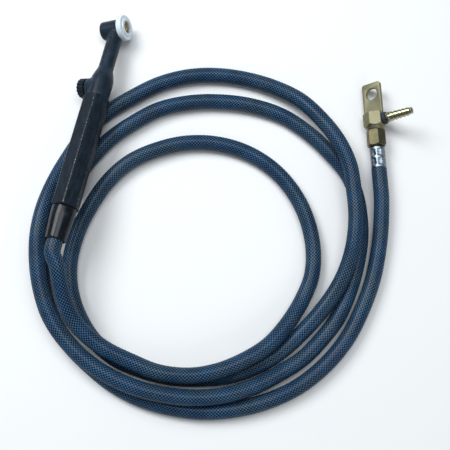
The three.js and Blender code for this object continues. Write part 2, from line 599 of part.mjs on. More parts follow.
function hoseCurve() {
  const route = HOSE_ROUTE.map((point) => new THREE.Vector3(...point));
  const start = [onTorchAxis(HELD_HOSE_START - GAP), onTorchAxis(0)];
  return new THREE.CatmullRomCurve3([...start, ...route, onConnectorAxis(-GAP)]);
}

// A path that runs straight from one station to the next, with one station for each step.
class StraightPath extends THREE.Curve {
  constructor(stations) {
    super();
    this.stations = stations;
  }

  getPointAt(share) {
    const place = share * (this.stations.length - 1);
    const before = Math.min(Math.floor(place), this.stations.length - 2);
    return this.stations[before].clone().lerp(this.stations[before + 1], place - before);
  }

  getTangentAt(share) {
    const half = 0.5 / (this.stations.length - 1);
    const from = this.getPointAt(Math.max(share - half, 0));
    return this.getPointAt(Math.min(share + half, 1)).sub(from).normalize();
  }
}

function ringShape(radius, sides) {
  const points = Array.from({ length: sides }, (_, i) => {
    const angle = (i * Math.PI * 2) / sides;
    return new THREE.Vector2(radius * Math.cos(angle), radius * Math.sin(angle));
  });
  return new THREE.Shape(points);
}

function hose() {
  const section = ringShape(HOSE_RADIUS, HOSE_SIDES);
  section.holes.push(ringShape(HOSE_BORE, HOSE_SIDES));
  const options = { steps: CORD_STEPS, extrudePath: hoseCurve(), bevelEnabled: false };
  return piece('hose', solid(new THREE.ExtrudeGeometry(section, options)), BLUE_BRAID);
}

function powerCable() {
  const inHose = hoseCurve().getSpacedPoints(CORD_STEPS);
  const stations = [onTorchAxis(SPIGOT_START + CABLE_GRIP), ...inHose, onConnectorAxis(1 + CABLE_GRIP)];
  const path = new StraightPath(stations);
  const options = { steps: stations.length - 1, extrudePath: path, bevelEnabled: false };
  const shape = solid(new THREE.ExtrudeGeometry(ringShape(CABLE_RADIUS, CABLE_SIDES), options));
  return piece('power_cable', shape, COPPER);
}

// ---------------------------------------------------------------- connector
function ferrule() {
  const bore = SPIGOT_RADIUS + GAP;
  let shape = solid(turnedRing([
    [bore, 0], [FERRULE_RADIUS - 0.3, 0], [FERRULE_RADIUS, 0.4], [FERRULE_RADIUS, FERRULE_LENGTH - 0.4],
    [FERRULE_RADIUS - 0.4, FERRULE_LENGTH], [bore, FERRULE_LENGTH],
  ], 32));
  const bite = FERRULE_LENGTH / 3;
  for (const [from, to] of [[2.2, 2.2 + bite], [10, 10 + bite]]) {
    for (let i = 0; i < 8; i += 1) {
      const flat = box(FERRULE_FLATS / 2 + 2, (from + to) / 2, 0, 4, to - from, 8).rotateY((i * Math.PI) / 4);
      shape = shape.subtract(solid(flat));
    }
  }
  return piece('ferrule', shape, SILVER);
}

function machineSpigot() {
  const flangeEnd = CONE_START - MALE_LENGTH - GAP;
  const flangeStart = NUT_START + NUT_FLOOR + GAP;
  const shape = solid(turned([
    [0, 1], [SPIGOT_RADIUS - 0.5, 1], [SPIGOT_RADIUS, 2.2], [SPIGOT_RADIUS, FERRULE_LENGTH + GAP],
    [SPIGOT_RADIUS - 0.5, FERRULE_LENGTH + GAP], [SPIGOT_RADIUS - 0.5, flangeStart],
    [MALE_RADIUS, flangeStart], [MALE_RADIUS, flangeEnd], [0, flangeEnd],
  ], 28));
  const bore = solid(rod(TAIL_BORE, 0, flangeEnd + 1, 20));
  const cup = solid(rod(CABLE_RADIUS + GAP, 0, 1 + CABLE_GRIP + GAP, 20));
  return piece('machine_spigot', shape.subtract(bore).subtract(cup), BRASS);
}

function unionNut() {
  const end = NUT_START + NUT_LENGTH;
  const reach = NUT_FLATS / Math.sqrt(3);
  const bar = solid(hexBar(NUT_FLATS, NUT_START, end));
  const chamfer = solid(turned([
    [0, NUT_START], [NUT_FLATS / 2 - 0.6, NUT_START], [reach + 0.2, NUT_START + 1.4],
    [reach + 0.2, end - 0.5], [reach - 0.5, end], [0, end],
  ], 36));
  const thread = solid(rod(NUT_BORE, NUT_START + NUT_FLOOR, end + 1, 28));
  const hole = solid(rod(NUT_HOLE, NUT_START - 1, NUT_START + NUT_FLOOR + 1, 28));
  return piece('union_nut', bar.intersect(chamfer).subtract(thread).subtract(hole), BRASS);
}

function lugOutline() {
  const half = HEX_FLATS / 2;
  const shape = new THREE.Shape();
  shape.moveTo(-half, HEX_END - 1);
  shape.lineTo(half, HEX_END - 1);
  shape.absarc(half - LUG_CORNER, LUG_END - LUG_CORNER, LUG_CORNER, 0, Math.PI / 2, false);
  shape.absarc(-half + LUG_CORNER, LUG_END - LUG_CORNER, LUG_CORNER, Math.PI / 2, Math.PI, false);
  shape.closePath();
  const hole = new THREE.Path();
  hole.absarc(0, LUG_HOLE_Y, LUG_HOLE / 2, 0, Math.PI * 2, true);
  shape.holes.push(hole);
  return shape;
}

function lugBlock() {
  const options = { depth: LUG_THICKNESS, bevelEnabled: false, curveSegments: 16 };
  const plate = new THREE.ExtrudeGeometry(lugOutline(), options).translate(0, 0, -LUG_THICKNESS / 2);
  const reach = HEX_FLATS / Math.sqrt(3) + 0.2;
  const chamfer = solid(turned([
    [0, HEX_START], [HEX_FLATS / 2 - 0.5, HEX_START], [reach, HEX_START + 2], [reach, HEX_END], [0, HEX_END],
  ], 36));
  const bar = solid(hexBar(HEX_FLATS, HEX_START, HEX_END)).intersect(chamfer);
  const neck = solid(turned([
    [0, CONE_START - MALE_LENGTH], [MALE_RADIUS, CONE_START - MALE_LENGTH], [MALE_RADIUS, CONE_START],
    [NUT_FLATS / 2 - 0.4, CONE_START], [HEX_FLATS / 2 - 0.6, HEX_START + 0.2], [0, HEX_START + 0.2],
  ], 36));
  const bore = solid(rod(TAIL_BORE, CONE_START - MALE_LENGTH - 1, BARB_Y, 20));
  const side = solid(toSide(rod(TAIL_BORE, 0, HEX_FLATS, 20)));
  const tapped = solid(toSide(rod(BARB_STUB_RADIUS + GAP, BARB_STUB_START, HEX_FLATS, 24)));
  const shape = bar.add(neck).add(solid(plate));
  return piece('lug_block', shape.subtract(bore).subtract(side).subtract(tapped), BRASS);
}

// Puts a mesh made about its own Y axis on the barb's axis, with +Y outwards.
function inSide(mesh) {
  mesh.position.y = BARB_Y;
  mesh.rotation.z = -Math.PI / 2;
  return mesh;
}

function barbSeal() {
  const from = HEX_FLATS / 2 + GAP;
  const to = from + SEAL_THICKNESS;
  return inSide(piece('barb_seal', solid(turnedRing([
    [BARB_STUB_RADIUS + GAP, from], [SEAL_RADIUS - 0.5, from], [SEAL_RADIUS, from + 0.6],
    [SEAL_RADIUS, to - 0.6], [SEAL_RADIUS - 0.5, to], [BARB_STUB_RADIUS + GAP, to],
  ], 28)), BLUE_GREY));
}

function gasBarb() {
  const foot = HEX_FLATS / 2 + SEAL_THICKNESS + 2 * GAP;
  const tip = foot + BARB_LENGTH;
  const first = foot + BARB_COLLAR + 1.4;
  const step = (tip - 1.5 - first) / BARB_RIDGES;
  const ridges = Array.from({ length: BARB_RIDGES }, (_, i) => {
    const radius = BARB_ROOT_RADIUS + ((BARB_TIP_RADIUS - BARB_ROOT_RADIUS) * i) / BARB_RIDGES;
    return [[radius, first + step * i + 0.5], [radius - BARB_RIDGE, first + step * (i + 1)]];
  }).flat();
  const shape = solid(turned([
    [0, BARB_STUB_START + GAP], [BARB_STUB_RADIUS, BARB_STUB_START + GAP], [BARB_STUB_RADIUS, foot],
    [BARB_ROOT_RADIUS + 0.1, foot], [BARB_ROOT_RADIUS + 0.1, foot + BARB_COLLAR],
    [BARB_ROOT_RADIUS - BARB_RIDGE, first],
    ...ridges, [BARB_TIP_RADIUS - 0.5, tip], [0, tip],
  ], 28));
  return inSide(piece('gas_barb', shape.subtract(solid(rod(TAIL_BORE - 0.2, 0, tip + 1, 20))), BRASS));
}

// ---------------------------------------------------------------- assembly
function torch() {
  const group = new THREE.Group();
  group.position.copy(MOUTH);
  group.rotation.x = -TILT;
  const rolled = new THREE.Group();
  rolled.rotation.y = -ROLL;
  rolled.add(torchBody(), gasket(), headCore(), neckTube());
  rolled.add(valveBlock(), valveSeat(), valvePacking(), glandNut(), valveNeedle(), valveKnob(), knobScrew());
  group.add(rolled, handle(), rearSleeve(), torchTail(), tailNut(), torchFerrule(), heldHose());
  return group;
}

function connector() {
  const group = new THREE.Group();
  group.position.copy(HOSE_END);
  group.rotation.z = CONNECTOR_HEADING;
  const rolled = new THREE.Group();
  rolled.rotation.y = -CONNECTOR_ROLL;
  rolled.add(lugBlock(), barbSeal(), gasBarb());
  group.add(rolled, ferrule(), machineSpigot(), unionNut());
  return group;
}

const group = new THREE.Group();
group.add(torch(), hose(), powerCable(), connector());

export default group;
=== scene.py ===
import math

import bmesh
import bpy
import numpy as np
from mathutils import Matrix, Vector


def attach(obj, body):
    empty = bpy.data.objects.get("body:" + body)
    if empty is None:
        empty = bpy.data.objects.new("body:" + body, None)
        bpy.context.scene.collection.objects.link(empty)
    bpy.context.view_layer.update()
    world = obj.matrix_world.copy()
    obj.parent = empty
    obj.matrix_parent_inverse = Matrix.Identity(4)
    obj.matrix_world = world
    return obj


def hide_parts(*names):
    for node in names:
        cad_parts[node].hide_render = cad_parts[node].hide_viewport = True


bl_info = {
    "name": "Welding torch looks",
    "version": (1, 0, 0),
    "blender": (4, 5, 0),
    "location": "View3D > Sidebar > Torch",
    "description": "Builds the visible pieces of a TIG welding torch round its packed model",
    "category": "Object",
}

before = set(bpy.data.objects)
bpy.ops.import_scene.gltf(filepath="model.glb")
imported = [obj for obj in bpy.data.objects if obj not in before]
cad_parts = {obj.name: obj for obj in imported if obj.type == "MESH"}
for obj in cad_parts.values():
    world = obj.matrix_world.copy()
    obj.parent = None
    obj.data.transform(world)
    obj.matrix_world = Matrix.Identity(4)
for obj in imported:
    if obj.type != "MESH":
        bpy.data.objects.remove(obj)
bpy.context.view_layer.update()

MM = 0.001

# ------------------------------------------------------------------ sizes of the CAD model, millimetres
GAP = 0.3
MOUTH = Vector((4, -105, 40.5))  # middle of the rear sleeve's mouth
ROLL = math.radians(24)
TILT = math.radians(7.903)
SLEEVE_LENGTH = 27.3
SLEEVE_MOUTH_RADIUS = 8.3
SLEEVE_BORE = 7.1
SLEEVE_SPIGOT = 8
HANDLE_LENGTH = 101.6
HANDLE_FLATS = 20.6
HANDLE_CORNER = 2.6
HANDLE_BORE = 8.7
HANDLE_TURN = math.radians(2)
BULB_RADIUS = 9.5
BODY_SPIGOT = 12
SHOULDER = 29
NECK_RADIUS = 6.3
HEAD_REACH = 71.3
HEAD_ANGLE = math.radians(84)
HEAD_RADIUS = 8.2
HEAD_REAR = 14.3
HEAD_FRONT = 3.9
HEAD_RIM = 1.3
CORE_RADIUS = 5.9
CORE_PASSAGE = 3.4
THREAD_ROOT = 5.05
THREAD_CREST = 4.6
GASKET_RADIUS = 11
GASKET_THICKNESS = 6
GASKET_BORE = 5.3
GASKET_LIP = 2.3
GASKET_STEP_RADIUS = 8
VALVE_OFFSET = 10.7
BOSS_RADIUS = 8.6
BOSS_REACH = 11.6
BOSS_BORE = 5.1
BLOCK_HOLE = 6.3
BLOCK_FRONT = 24
NECK_HOLE = 3.1
SPINDLE_RADIUS = 1.5
SPINDLE_END = 17
KNOB_RADIUS = 8.65
KNOB_LENGTH = 7.2
KNOB_GAP = 0.9
SCREW_HEAD_RADIUS = 2.5
HELD_HOSE_START = 1
HELD_HOSE_END = 88
HOSE_RADIUS = 6.5
HOSE_BORE = 4.8
HOSE_END = Vector((250.3, 13.3, 9.4))
CONNECTOR_HEADING = math.radians(13.75)
CONNECTOR_ROLL = math.radians(40)
FERRULE_LENGTH = 18.2
FERRULE_RADIUS = 6.4
FERRULE_FLATS = 12.1
FERRULE_BORE = 4.2
NUT_FLATS = 14.5
NUT_START = 19.4
NUT_LENGTH = 14
NUT_BORE = 5.6
NUT_HOLE = 4
NUT_FLOOR = 2.4
CONE_LENGTH = 2.9
MALE_RADIUS = 5.2
MALE_LENGTH = 9.5
PASSAGE = 1.9
HEX_FLATS = 17
HEX_LENGTH = 12.2
LUG_LENGTH = 28.2
LUG_THICKNESS = 3.4
LUG_CORNER = 2.2
LUG_HOLE = 10.4
LUG_HOLE_MARGIN = 10
BARB_STUB_RADIUS = 2.7
BARB_STUB_START = 4.2
SEAL_RADIUS = 5.2
SEAL_THICKNESS = 2.8
BARB_LENGTH = 22.8
BARB_RIDGES = 5
BARB_ROOT_RADIUS = 4.2
BARB_TIP_RADIUS = 3.5

# places worked out from the sizes, along the torch's axis and along the connector's
HANDLE_START = SLEEVE_LENGTH + GAP
HANDLE_END = HANDLE_START + HANDLE_LENGTH
JOINT = HANDLE_END + GAP
VALVE_Y = JOINT + VALVE_OFFSET
HEAD_Y = JOINT + HEAD_REACH
GASKET_BACK = HEAD_FRONT + GAP
GASKET_FRONT = GASKET_BACK + GASKET_THICKNESS
CORE_FRONT = GASKET_FRONT - GASKET_LIP - GAP
CORE_BACK = -HEAD_REAR + 0.8
KNOB_START = BOSS_REACH + KNOB_GAP
KNOB_END = KNOB_START + KNOB_LENGTH
NUT_END = NUT_START + NUT_LENGTH
CONE_START = NUT_END + GAP
HEX_START = CONE_START + CONE_LENGTH
HEX_END = HEX_START + HEX_LENGTH
LUG_END = HEX_END + LUG_LENGTH
LUG_HOLE_Y = LUG_END - LUG_HOLE_MARGIN
BARB_Y = HEX_START + HEX_LENGTH / 2

# The hose's way over the floor, from the rear sleeve round three and a half turns to the ferrule.
HOSE_ROUTE = [
    (4.2, -115, 41.2), (10, -124, 40.8), (14.5, -136, 38), (22, -152, 33), (31.5, -164, 28.5),
    (44.5, -173, 24.5), (60, -180, 22), (80, -185, 20.5), (103, -189, 20), (127, -187, 20),
    (147, -180, 20), (165, -169, 19), (184, -152, 16.5), (197, -131, 12.5), (206, -108, 8.5),
    (210, -87, 7), (207, -64, 6.5), (197, -40, 6.5), (182, -20, 6.5), (162, -4, 6.5), (138, 6, 6.5),
    (112, 9, 6.5), (86, 5, 6.5), (63, -5, 6.5), (41, -21, 6.5), (26, -42, 6.5), (16, -68, 6.5),
    (11, -92, 6.5), (11, -116, 6.5), (17, -138, 6.5), (29, -158, 6.5), (45, -174, 6.5),
    (65, -185, 6.5), (89, -190, 6.5), (114, -191, 6.5), (138, -187, 6.5), (158, -181, 6.5),
    (176, -171, 7), (193, -157, 7.5), (209, -137, 8.5), (222, -116, 10.5), (232, -94, 13.5),
    (237, -73, 17), (238, -53, 19.5), (236, -33, 20), (231, -13, 20), (224, 8, 20), (211, 28, 19),
    (193, 46, 16), (174, 60, 12), (152, 68, 9), (126, 72, 7), (99, 71, 6.5), (74, 65, 6.5),
    (50, 53, 6.5), (28, 35, 6.5), (10, 17, 6.5), (-3, -5, 6.5), (-12, -31, 9), (-17, -56, 14),
    (-18.5, -79, 18.5), (-17, -101, 20), (-12, -122, 20), (-3, -144, 20), (9, -163, 20),
    (26, -179, 20), (47, -192, 20), (69, -200, 20), (89, -204, 20), (110, -205, 19.5),
    (133, -203, 18), (157, -196.5, 15), (179, -185.5, 11), (198, -171, 8), (214, -156, 7),
    (226, -139, 6.5), (236, -120, 6.5), (242, -98, 6.5), (245, -74, 6.5), (245, -50, 6.5),
    (241, -29, 6.5), (234, -10, 6.5), (224, 5, 6.5), (208, 19, 6.5), (186, 34, 6.5),
    (161, 45, 6.5), (132, 49, 6.5), (104, 47, 6.5), (79, 41, 6.5), (55, 30, 6.5), (36, 14, 6.5),
    (19, -5, 6.5), (6, -28, 6.5), (-3, -54, 6.5), (-10, -78, 6.5), (-13, -102, 6.5),
    (-11, -124, 6.5), (-4, -144, 6.5), (9, -165, 6.5), (27, -182, 6.5), (49, -196, 6.5),
    (70, -206, 6.5), (92, -212, 6.5), (117, -214, 6.5), (144, -212, 6.5), (172, -204, 6.5),
    (196, -192, 6.5), (217, -176, 6.5), (234, -156, 6.5), (247, -133, 6.5), (255, -108, 6.5),
    (260, -82, 6.5), (261, -56, 7), (259.5, -33, 8), (256.3, -11.5, 9.1), (253.3, 1, 9.4),
]

# frames of the torch, its rolled head, the nozzle, the valve, the connector and its side barb
TORCH = Matrix.Translation(MOUTH) @ Matrix.Rotation(-TILT, 4, "X")
ROLLED = TORCH @ Matrix.Rotation(-ROLL, 4, "Y")
HEAD = ROLLED @ Matrix.Translation((0, HEAD_Y, 0)) @ Matrix.Rotation(-HEAD_ANGLE, 4, "Z")
VALVE = ROLLED @ Matrix.Translation((0, VALVE_Y, 0)) @ Matrix.Rotation(math.pi / 2, 4, "Z")
CONNECTOR = Matrix.Translation(HOSE_END) @ Matrix.Rotation(CONNECTOR_HEADING, 4, "Z")
LUG = CONNECTOR @ Matrix.Rotation(-CONNECTOR_ROLL, 4, "Y")
SIDE = LUG @ Matrix.Translation((0, BARB_Y, 0)) @ Matrix.Rotation(-math.pi / 2, 4, "Z")


# ------------------------------------------------------------------ what a user would change
class TorchSizes(bpy.types.PropertyGroup):
    braid_cells: bpy.props.IntProperty(
        name="Braid cells", description="Diamonds of the braid round the hose", default=15, min=8, max=40
    )
    braid_relief: bpy.props.FloatProperty(
        name="Braid relief", description="How far the yarns stand proud", default=0.00013,
        unit="LENGTH", precision=5,
    )
    knob_ribs: bpy.props.IntProperty(name="Knob ribs", description="Ribs round the knob", default=16, min=6)
    knob_groove: bpy.props.FloatProperty(
        name="Knob groove", description="Depth of the grooves between the ribs", default=0.0008,
        unit="LENGTH", precision=5,
    )
    body_voxel: bpy.props.FloatProperty(
        name="Body mesh", description="Size of the faces of the moulded body", default=0.00045,
        unit="LENGTH", precision=5,
    )


class TorchColours(bpy.types.PropertyGroup):
    rubber: bpy.props.FloatVectorProperty(
        name="Rubber", description="Moulded body", subtype="COLOR", default=(0.010, 0.020, 0.035)
    )
    plastic: bpy.props.FloatVectorProperty(
        name="Plastic", description="Handle and knob", subtype="COLOR", default=(0.005, 0.011, 0.019)
    )
    yarn: bpy.props.FloatVectorProperty(
        name="Yarn", description="Blue yarns of the braid", subtype="COLOR", default=(0.055, 0.165, 0.31)
    )
    dark_yarn: bpy.props.FloatVectorProperty(
        name="Dark yarn", description="Dark yarns and the gaps", subtype="COLOR",
        default=(0.0006, 0.004, 0.018),
    )
    brass: bpy.props.FloatVectorProperty(
        name="Brass", description="Lug, nut and barb", subtype="COLOR", default=(0.24, 0.238, 0.155)
    )
    ptfe: bpy.props.FloatVectorProperty(
        name="White ring", description="Gasket of the head", subtype="COLOR", default=(0.68, 0.77, 0.85)
    )


class TorchStage(bpy.types.PropertyGroup):
    camera: bpy.props.FloatVectorProperty(
        name="Camera", description="Place of the camera", subtype="TRANSLATION", unit="LENGTH",
        default=(0.1551, -0.1798, 0.582),
    )
    target: bpy.props.FloatVectorProperty(
        name="Target", description="Point that the camera looks at", subtype="TRANSLATION", unit="LENGTH",
        default=(0.131, -0.0585, 0),
    )
    lens: bpy.props.FloatProperty(name="Lens", description="Focal length in millimetres", default=56)
    floor: bpy.props.FloatVectorProperty(
        name="Floor", description="Colour of the floor", subtype="COLOR", default=(0.86, 0.87, 0.88)
    )
    light: bpy.props.FloatProperty(name="Light", description="Strength of the studio light", default=1.0)


# ------------------------------------------------------------------ shader maths
class Value:
    """A shader socket that takes part in ordinary arithmetic."""

    def __init__(self, shader, socket):
        self.shader = shader
        self.socket = socket

    def _maths(self, operation, *values):
        return self.shader.node("ShaderNodeMath", {"operation": operation}, dict(enumerate(values)))

    def __add__(self, other):
        return self._maths("ADD", self, other)

    def __sub__(self, other):
        return self._maths("SUBTRACT", self, other)

    def __rsub__(self, other):
        return self._maths("SUBTRACT", other, self)

    def __mul__(self, other):
        return self._maths("MULTIPLY", self, other)

    def __gt__(self, other):
        return self._maths("GREATER_THAN", self, other)

    __radd__ = __add__
    __rmul__ = __mul__

    def floor(self):
        return self._maths("FLOOR", self)

    def fraction(self):
        return self._maths("FRACT", self)

    def cosine(self):
        return self._maths("COSINE", self)

    def remainder(self, other):
        return self._maths("FLOORED_MODULO", self, other)

    def ramp(self, low, high):
        """0 below low, 1 above high, smooth between."""
        values = {"Value": self, "From Min": low, "From Max": high}
        return self.shader.node("ShaderNodeMapRange", {"interpolation_type": "SMOOTHSTEP"}, values)


class Shader:
    """A material whose Principled shader is fed by expressions."""

    def __init__(self, name):
        self.material = bpy.data.materials.new(name)
        self.material.use_nodes = True
        self.tree = self.material.node_tree
        self.surface = self.tree.nodes["Principled BSDF"]

    def node(self, kind, settings=None, values=None, output=0):
        """A new node, its settings first, then its sockets' values or links."""
        node = self.tree.nodes.new(kind)
        for key, setting in (settings or {}).items():
            setattr(node, key, setting)
        for key, value in (values or {}).items():
            self._feed(node.inputs[key], value)
        return Value(self, node.outputs[output])

    def _feed(self, socket, value):
        if isinstance(value, Value):
            self.tree.links.new(value.socket, socket)
        elif socket.type == "RGBA" and len(value) == 3:
            socket.default_value = (*value, 1)
        else:
            socket.default_value = value

    def place(self):
        return self.node("ShaderNodeTexCoord", output="Object")

    def noise(self, scale, detail=3, roughness=0.55, at=None, distortion=0):
        values = {"Scale": scale, "Detail": detail, "Roughness": roughness, "Distortion": distortion}
        values["Vector"] = at or self.place()
        return self.node("ShaderNodeTexNoise", {"noise_dimensions": "3D"}, values)

    def stretched(self, matrix, scales):
        """Coordinates along a piece's own axes, each scaled, so that a pattern follows the piece."""
        turn = matrix.to_quaternion().inverted().to_euler()
        local = self.node("ShaderNodeMapping", None, {"Vector": self.place(), "Rotation": turn})
        return self.node("ShaderNodeVectorMath", {"operation": "MULTIPLY"}, {0: local, 1: scales})

    def mix(self, share, first, second):
        return self.node("ShaderNodeMix", {"data_type": "RGBA"}, {0: share, 6: first, 7: second}, output=2)

    def edges(self):
        """Bright on corners that stick out and dark in grooves, about 0.5 on flats."""
        return self.node("ShaderNodeNewGeometry", output="Pointiness")

    def attribute(self, name):
        return self.node("ShaderNodeAttribute", {"attribute_name": name}, output="Fac")

    def bump(self, height, distance, strength=1.0, under=None):
        values = {"Height": height, "Distance": distance, "Strength": strength}
        if under:
            values["Normal"] = under
        return self.node("ShaderNodeBump", None, values)

    def finish(self, **sockets):
        for name, value in sockets.items():
            self._feed(self.surface.inputs[name.replace("_", " ")], value)
        return self.material


def shade(colour, factor):
    return tuple(min(1.0, c * factor) for c in colour)


# ------------------------------------------------------------------ materials
def rubber_material(name, colour, roughness, seed):
    """Moulded rubber: a soft grain, dull patches from hands and a greyer bloom on worn edges."""
    s = Shader(name)
    at = s.node("ShaderNodeVectorMath", {"operation": "ADD"}, {0: s.place(), 1: (seed, seed * 0.7, 0)})
    patches = s.noise(90, 4, 0.6, at)
    grain = s.noise(2600, 2, 0.5, at)
    dust = s.noise(900, 3, 0.6, at).ramp(0.6, 0.78)
    worn = s.edges().ramp(0.53, 0.62) * s.noise(500, 3, 0.6, at).ramp(0.42, 0.6)
    tone = s.mix(patches.ramp(0.35, 0.7), shade(colour, 0.75), shade(colour, 1.35))
    tone = s.mix(dust * 0.12, tone, (0.10, 0.12, 0.14))
    tone = s.mix(worn * 0.3, tone, (0.08, 0.10, 0.12))
    rough = roughness + (patches - 0.5) * 0.25 + dust * 0.15
    normal = s.bump(grain * 0.6 + patches * 0.4, 0.00006, 0.6)
    return s.finish(Base_Color=tone, Roughness=rough, Normal=normal, Specular_IOR_Level=0.2)


def handle_material(colours):
    """Mottled black plastic with scuffs and pale specks where the corners are rubbed, and a painted highlight
    along the corners.
    """
    s = Shader("handle_plastic")
    along = s.stretched(TORCH, (1, 0.25, 1))
    mottle = s.noise(420, 4, 0.65, along)
    fine = s.noise(2200, 2, 0.5)
    corner = s.attribute("corner")
    specks = s.noise(1500, 2, 0.6).ramp(0.58, 0.66) * corner.ramp(0.55, 1.0)
    scuffs = s.noise(160, 5, 0.75, s.stretched(TORCH, (1, 0.1, 1))).ramp(0.6, 0.74)
    tone = s.mix(mottle.ramp(0.35, 0.68), shade(colours.plastic, 0.7), shade(colours.plastic, 1.7))
    tone = s.mix(scuffs * 0.25, tone, (0.04, 0.05, 0.06))
    # painted highlight: a lighter band along every corner of the hexagon
    tone = s.mix(corner.ramp(0.6, 1.0) * 0.25, tone, (0.05, 0.06, 0.07))
    tone = s.mix(specks * 0.85, tone, (0.55, 0.56, 0.57))
    rough = 0.5 + (mottle - 0.5) * 0.35 + scuffs * 0.1
    normal = s.bump(mottle * 0.7 + fine * 0.3, 0.00009, 0.7)
    return s.finish(Base_Color=tone, Roughness=rough, Normal=normal, Specular_IOR_Level=0.18)


def sleeve_material():
    """Glossy heat-shrunk plastic with faint rings and smears."""
    s = Shader("sleeve_gloss")
    rings = s.noise(900, 2, 0.5, s.stretched(TORCH, (0.05, 1, 0.05)))
    smears = s.noise(220, 4, 0.6).ramp(0.45, 0.75)
    tone = s.mix(smears, (0.004, 0.007, 0.011), (0.012, 0.018, 0.026))
    rough = 0.2 + smears * 0.16 + (rings - 0.5) * 0.06
    normal = s.bump(rings, 0.00004, 0.5)
    return s.finish(Base_Color=tone, Roughness=rough, Normal=normal, Specular_IOR_Level=0.22)


def ptfe_material(colours):
    """White turned ring: faint lathe marks, and grime near the bore."""
    s = Shader("white_ring")
    marks = s.noise(2400, 2, 0.5, s.stretched(HEAD, (0.04, 1, 0.04)))
    grime = s.attribute("grime") * s.noise(500, 4, 0.65).ramp(0.35, 0.7)
    cloud = s.noise(160, 3, 0.5)
    tone = s.mix(cloud, shade(colours.ptfe, 0.94), colours.ptfe)
    tone = s.mix(grime * 0.55, tone, (0.42, 0.38, 0.32))
    return s.finish(
        Base_Color=tone, Roughness=0.36 + cloud * 0.18, Normal=s.bump(marks, 0.00004, 0.5),
        Subsurface_Weight=0.08, Subsurface_Scale=0.002,
    )


def metal_material(name, colour, roughness, axes, stain=0.35, tint=(0.32, 0.24, 0.11), edge=1.45):
    """Turned or milled metal: tool marks along the axes, stains and small scratches. Its convex edges get a
    painted highlight, which becomes painted shade where edge is below 1."""
    s = Shader(name)
    marks = s.noise(1900, 2, 0.55, s.stretched(axes, (0.06, 1, 0.06)))
    stains = s.noise(170, 5, 0.65)
    scratch = s.noise(700, 2, 0.5, s.stretched(axes, (1, 0.05, 1)), 0.6).ramp(0.66, 0.7)
    # bright: the convex edges, which take the painted edge light below
    bright = s.edges().ramp(0.53, 0.62)
    tone = s.mix(stains.ramp(0.38, 0.7) * stain, colour, tint)
    tone = s.mix(scratch * 0.25, tone, shade(colour, 1.5))
    # painted light on the convex edges: a painted highlight when edge is above 1, painted shade when it is
    # below 1
    tone = s.mix(bright * 0.4, tone, shade(colour, edge))
    rough = roughness + (stains - 0.5) * 0.22 + (marks - 0.5) * 0.12
    return s.finish(Base_Color=tone, Roughness=rough, Metallic=1.0, Normal=s.bump(marks, 0.00005, 0.55))


def crimped_material():
    """Pressed aluminium: mottled bright dents with greyer, duller stretches."""
    s = Shader("crimped_sleeve")
    mottle = s.noise(520, 4, 0.6)
    marks = s.noise(1800, 2, 0.5, s.stretched(CONNECTOR, (1, 0.1, 1)))
    grey = s.noise(140, 3, 0.5).ramp(0.4, 0.7)
    tone = s.mix(mottle.ramp(0.35, 0.65), (0.13, 0.17, 0.21), (0.31, 0.37, 0.42))
    tone = s.mix(grey * 0.3, tone, (0.33, 0.35, 0.38))
    rough = 0.36 + (mottle - 0.5) * 0.3 + grey * 0.12
    normal = s.bump(mottle + marks * 0.4, 0.0001, 0.6)
    return s.finish(Base_Color=tone, Roughness=rough, Metallic=1.0, Normal=normal)


KEEPS_POSITIVE = 4096  # added to a count of cells, more than the hose has
FIBRES = 12  # seen across a yarn


def braid_material(colours):
    """Two sets of yarns that cross over and under each other, each yarn with its own fibres, under a
    thin clear skin."""
    s = Shader("hose_braid")
    cell = s.node("ShaderNodeUVMap", {"uv_map": "braid"})
    across = s.node("ShaderNodeSeparateXYZ", None, {0: cell}, output=0)
    along = s.node("ShaderNodeSeparateXYZ", None, {0: cell}, output=1)
    first, second = across + along, across - along + KEEPS_POSITIVE
    side_a, side_b = first.fraction() - 0.5, second.fraction() - 0.5
    over = (first.floor() + second.floor()).remainder(2) > 0.5
    crown_a = (side_a * math.pi).cosine()
    crown_b = (side_b * math.pi).cosine()
    crown = crown_a * crown_b
    fibres_a = (side_a * (math.pi * FIBRES)).cosine()
    fibres_b = (side_b * (math.pi * FIBRES)).cosine()
    fibres = fibres_a * over + fibres_b * (1 - over)
    gap = crown.ramp(0.06, 0.26)
    drift = s.noise(60, 3, 0.5)
    fleck = s.noise(1300, 2, 0.6)
    blue = s.mix(drift.ramp(0.35, 0.65), shade(colours.yarn, 0.8), shade(colours.yarn, 1.25))
    green = fleck.ramp(0.48, 0.62) * s.noise(45, 2, 0.5).ramp(0.45, 0.58)
    blue = s.mix(green * 0.8, blue, (0.17, 0.25, 0.14))
    blue = s.mix((fibres * 0.5 + 0.5) * 0.2, blue, shade(colours.yarn, 2.0))
    dark = s.mix(fleck, shade(colours.dark_yarn, 0.8), shade(colours.dark_yarn, 1.8))
    tone = s.mix(over * 0.3, blue, dark)
    tone = s.mix(gap * 0.96, tone, dark)
    rough = 0.34 + gap * 0.4 + (fleck - 0.5) * 0.2
    height = (1 - crown) * 0.7 + fibres * 0.08 + fleck * 0.1
    return s.finish(
        Base_Color=tone, Roughness=rough, Normal=s.bump(height, 0.0004, 1.0), Specular_IOR_Level=0.1,
        Coat_Weight=0.22, Coat_Roughness=0.25,
    )


def strand_material():
    """Fine stranded copper."""
    s = Shader("copper_strand")
    lay = s.node("ShaderNodeTexWave", {"bands_direction": "DIAGONAL"}, {"Vector": s.place(), "Scale": 900})
    stains = s.noise(200, 3, 0.6)
    tone = s.mix(stains, (0.45, 0.20, 0.11), (0.80, 0.44, 0.28))
    rough = 0.3 + stains * 0.2
    return s.finish(Base_Color=tone, Roughness=rough, Metallic=1.0, Normal=s.bump(lay, 0.0002, 0.8))


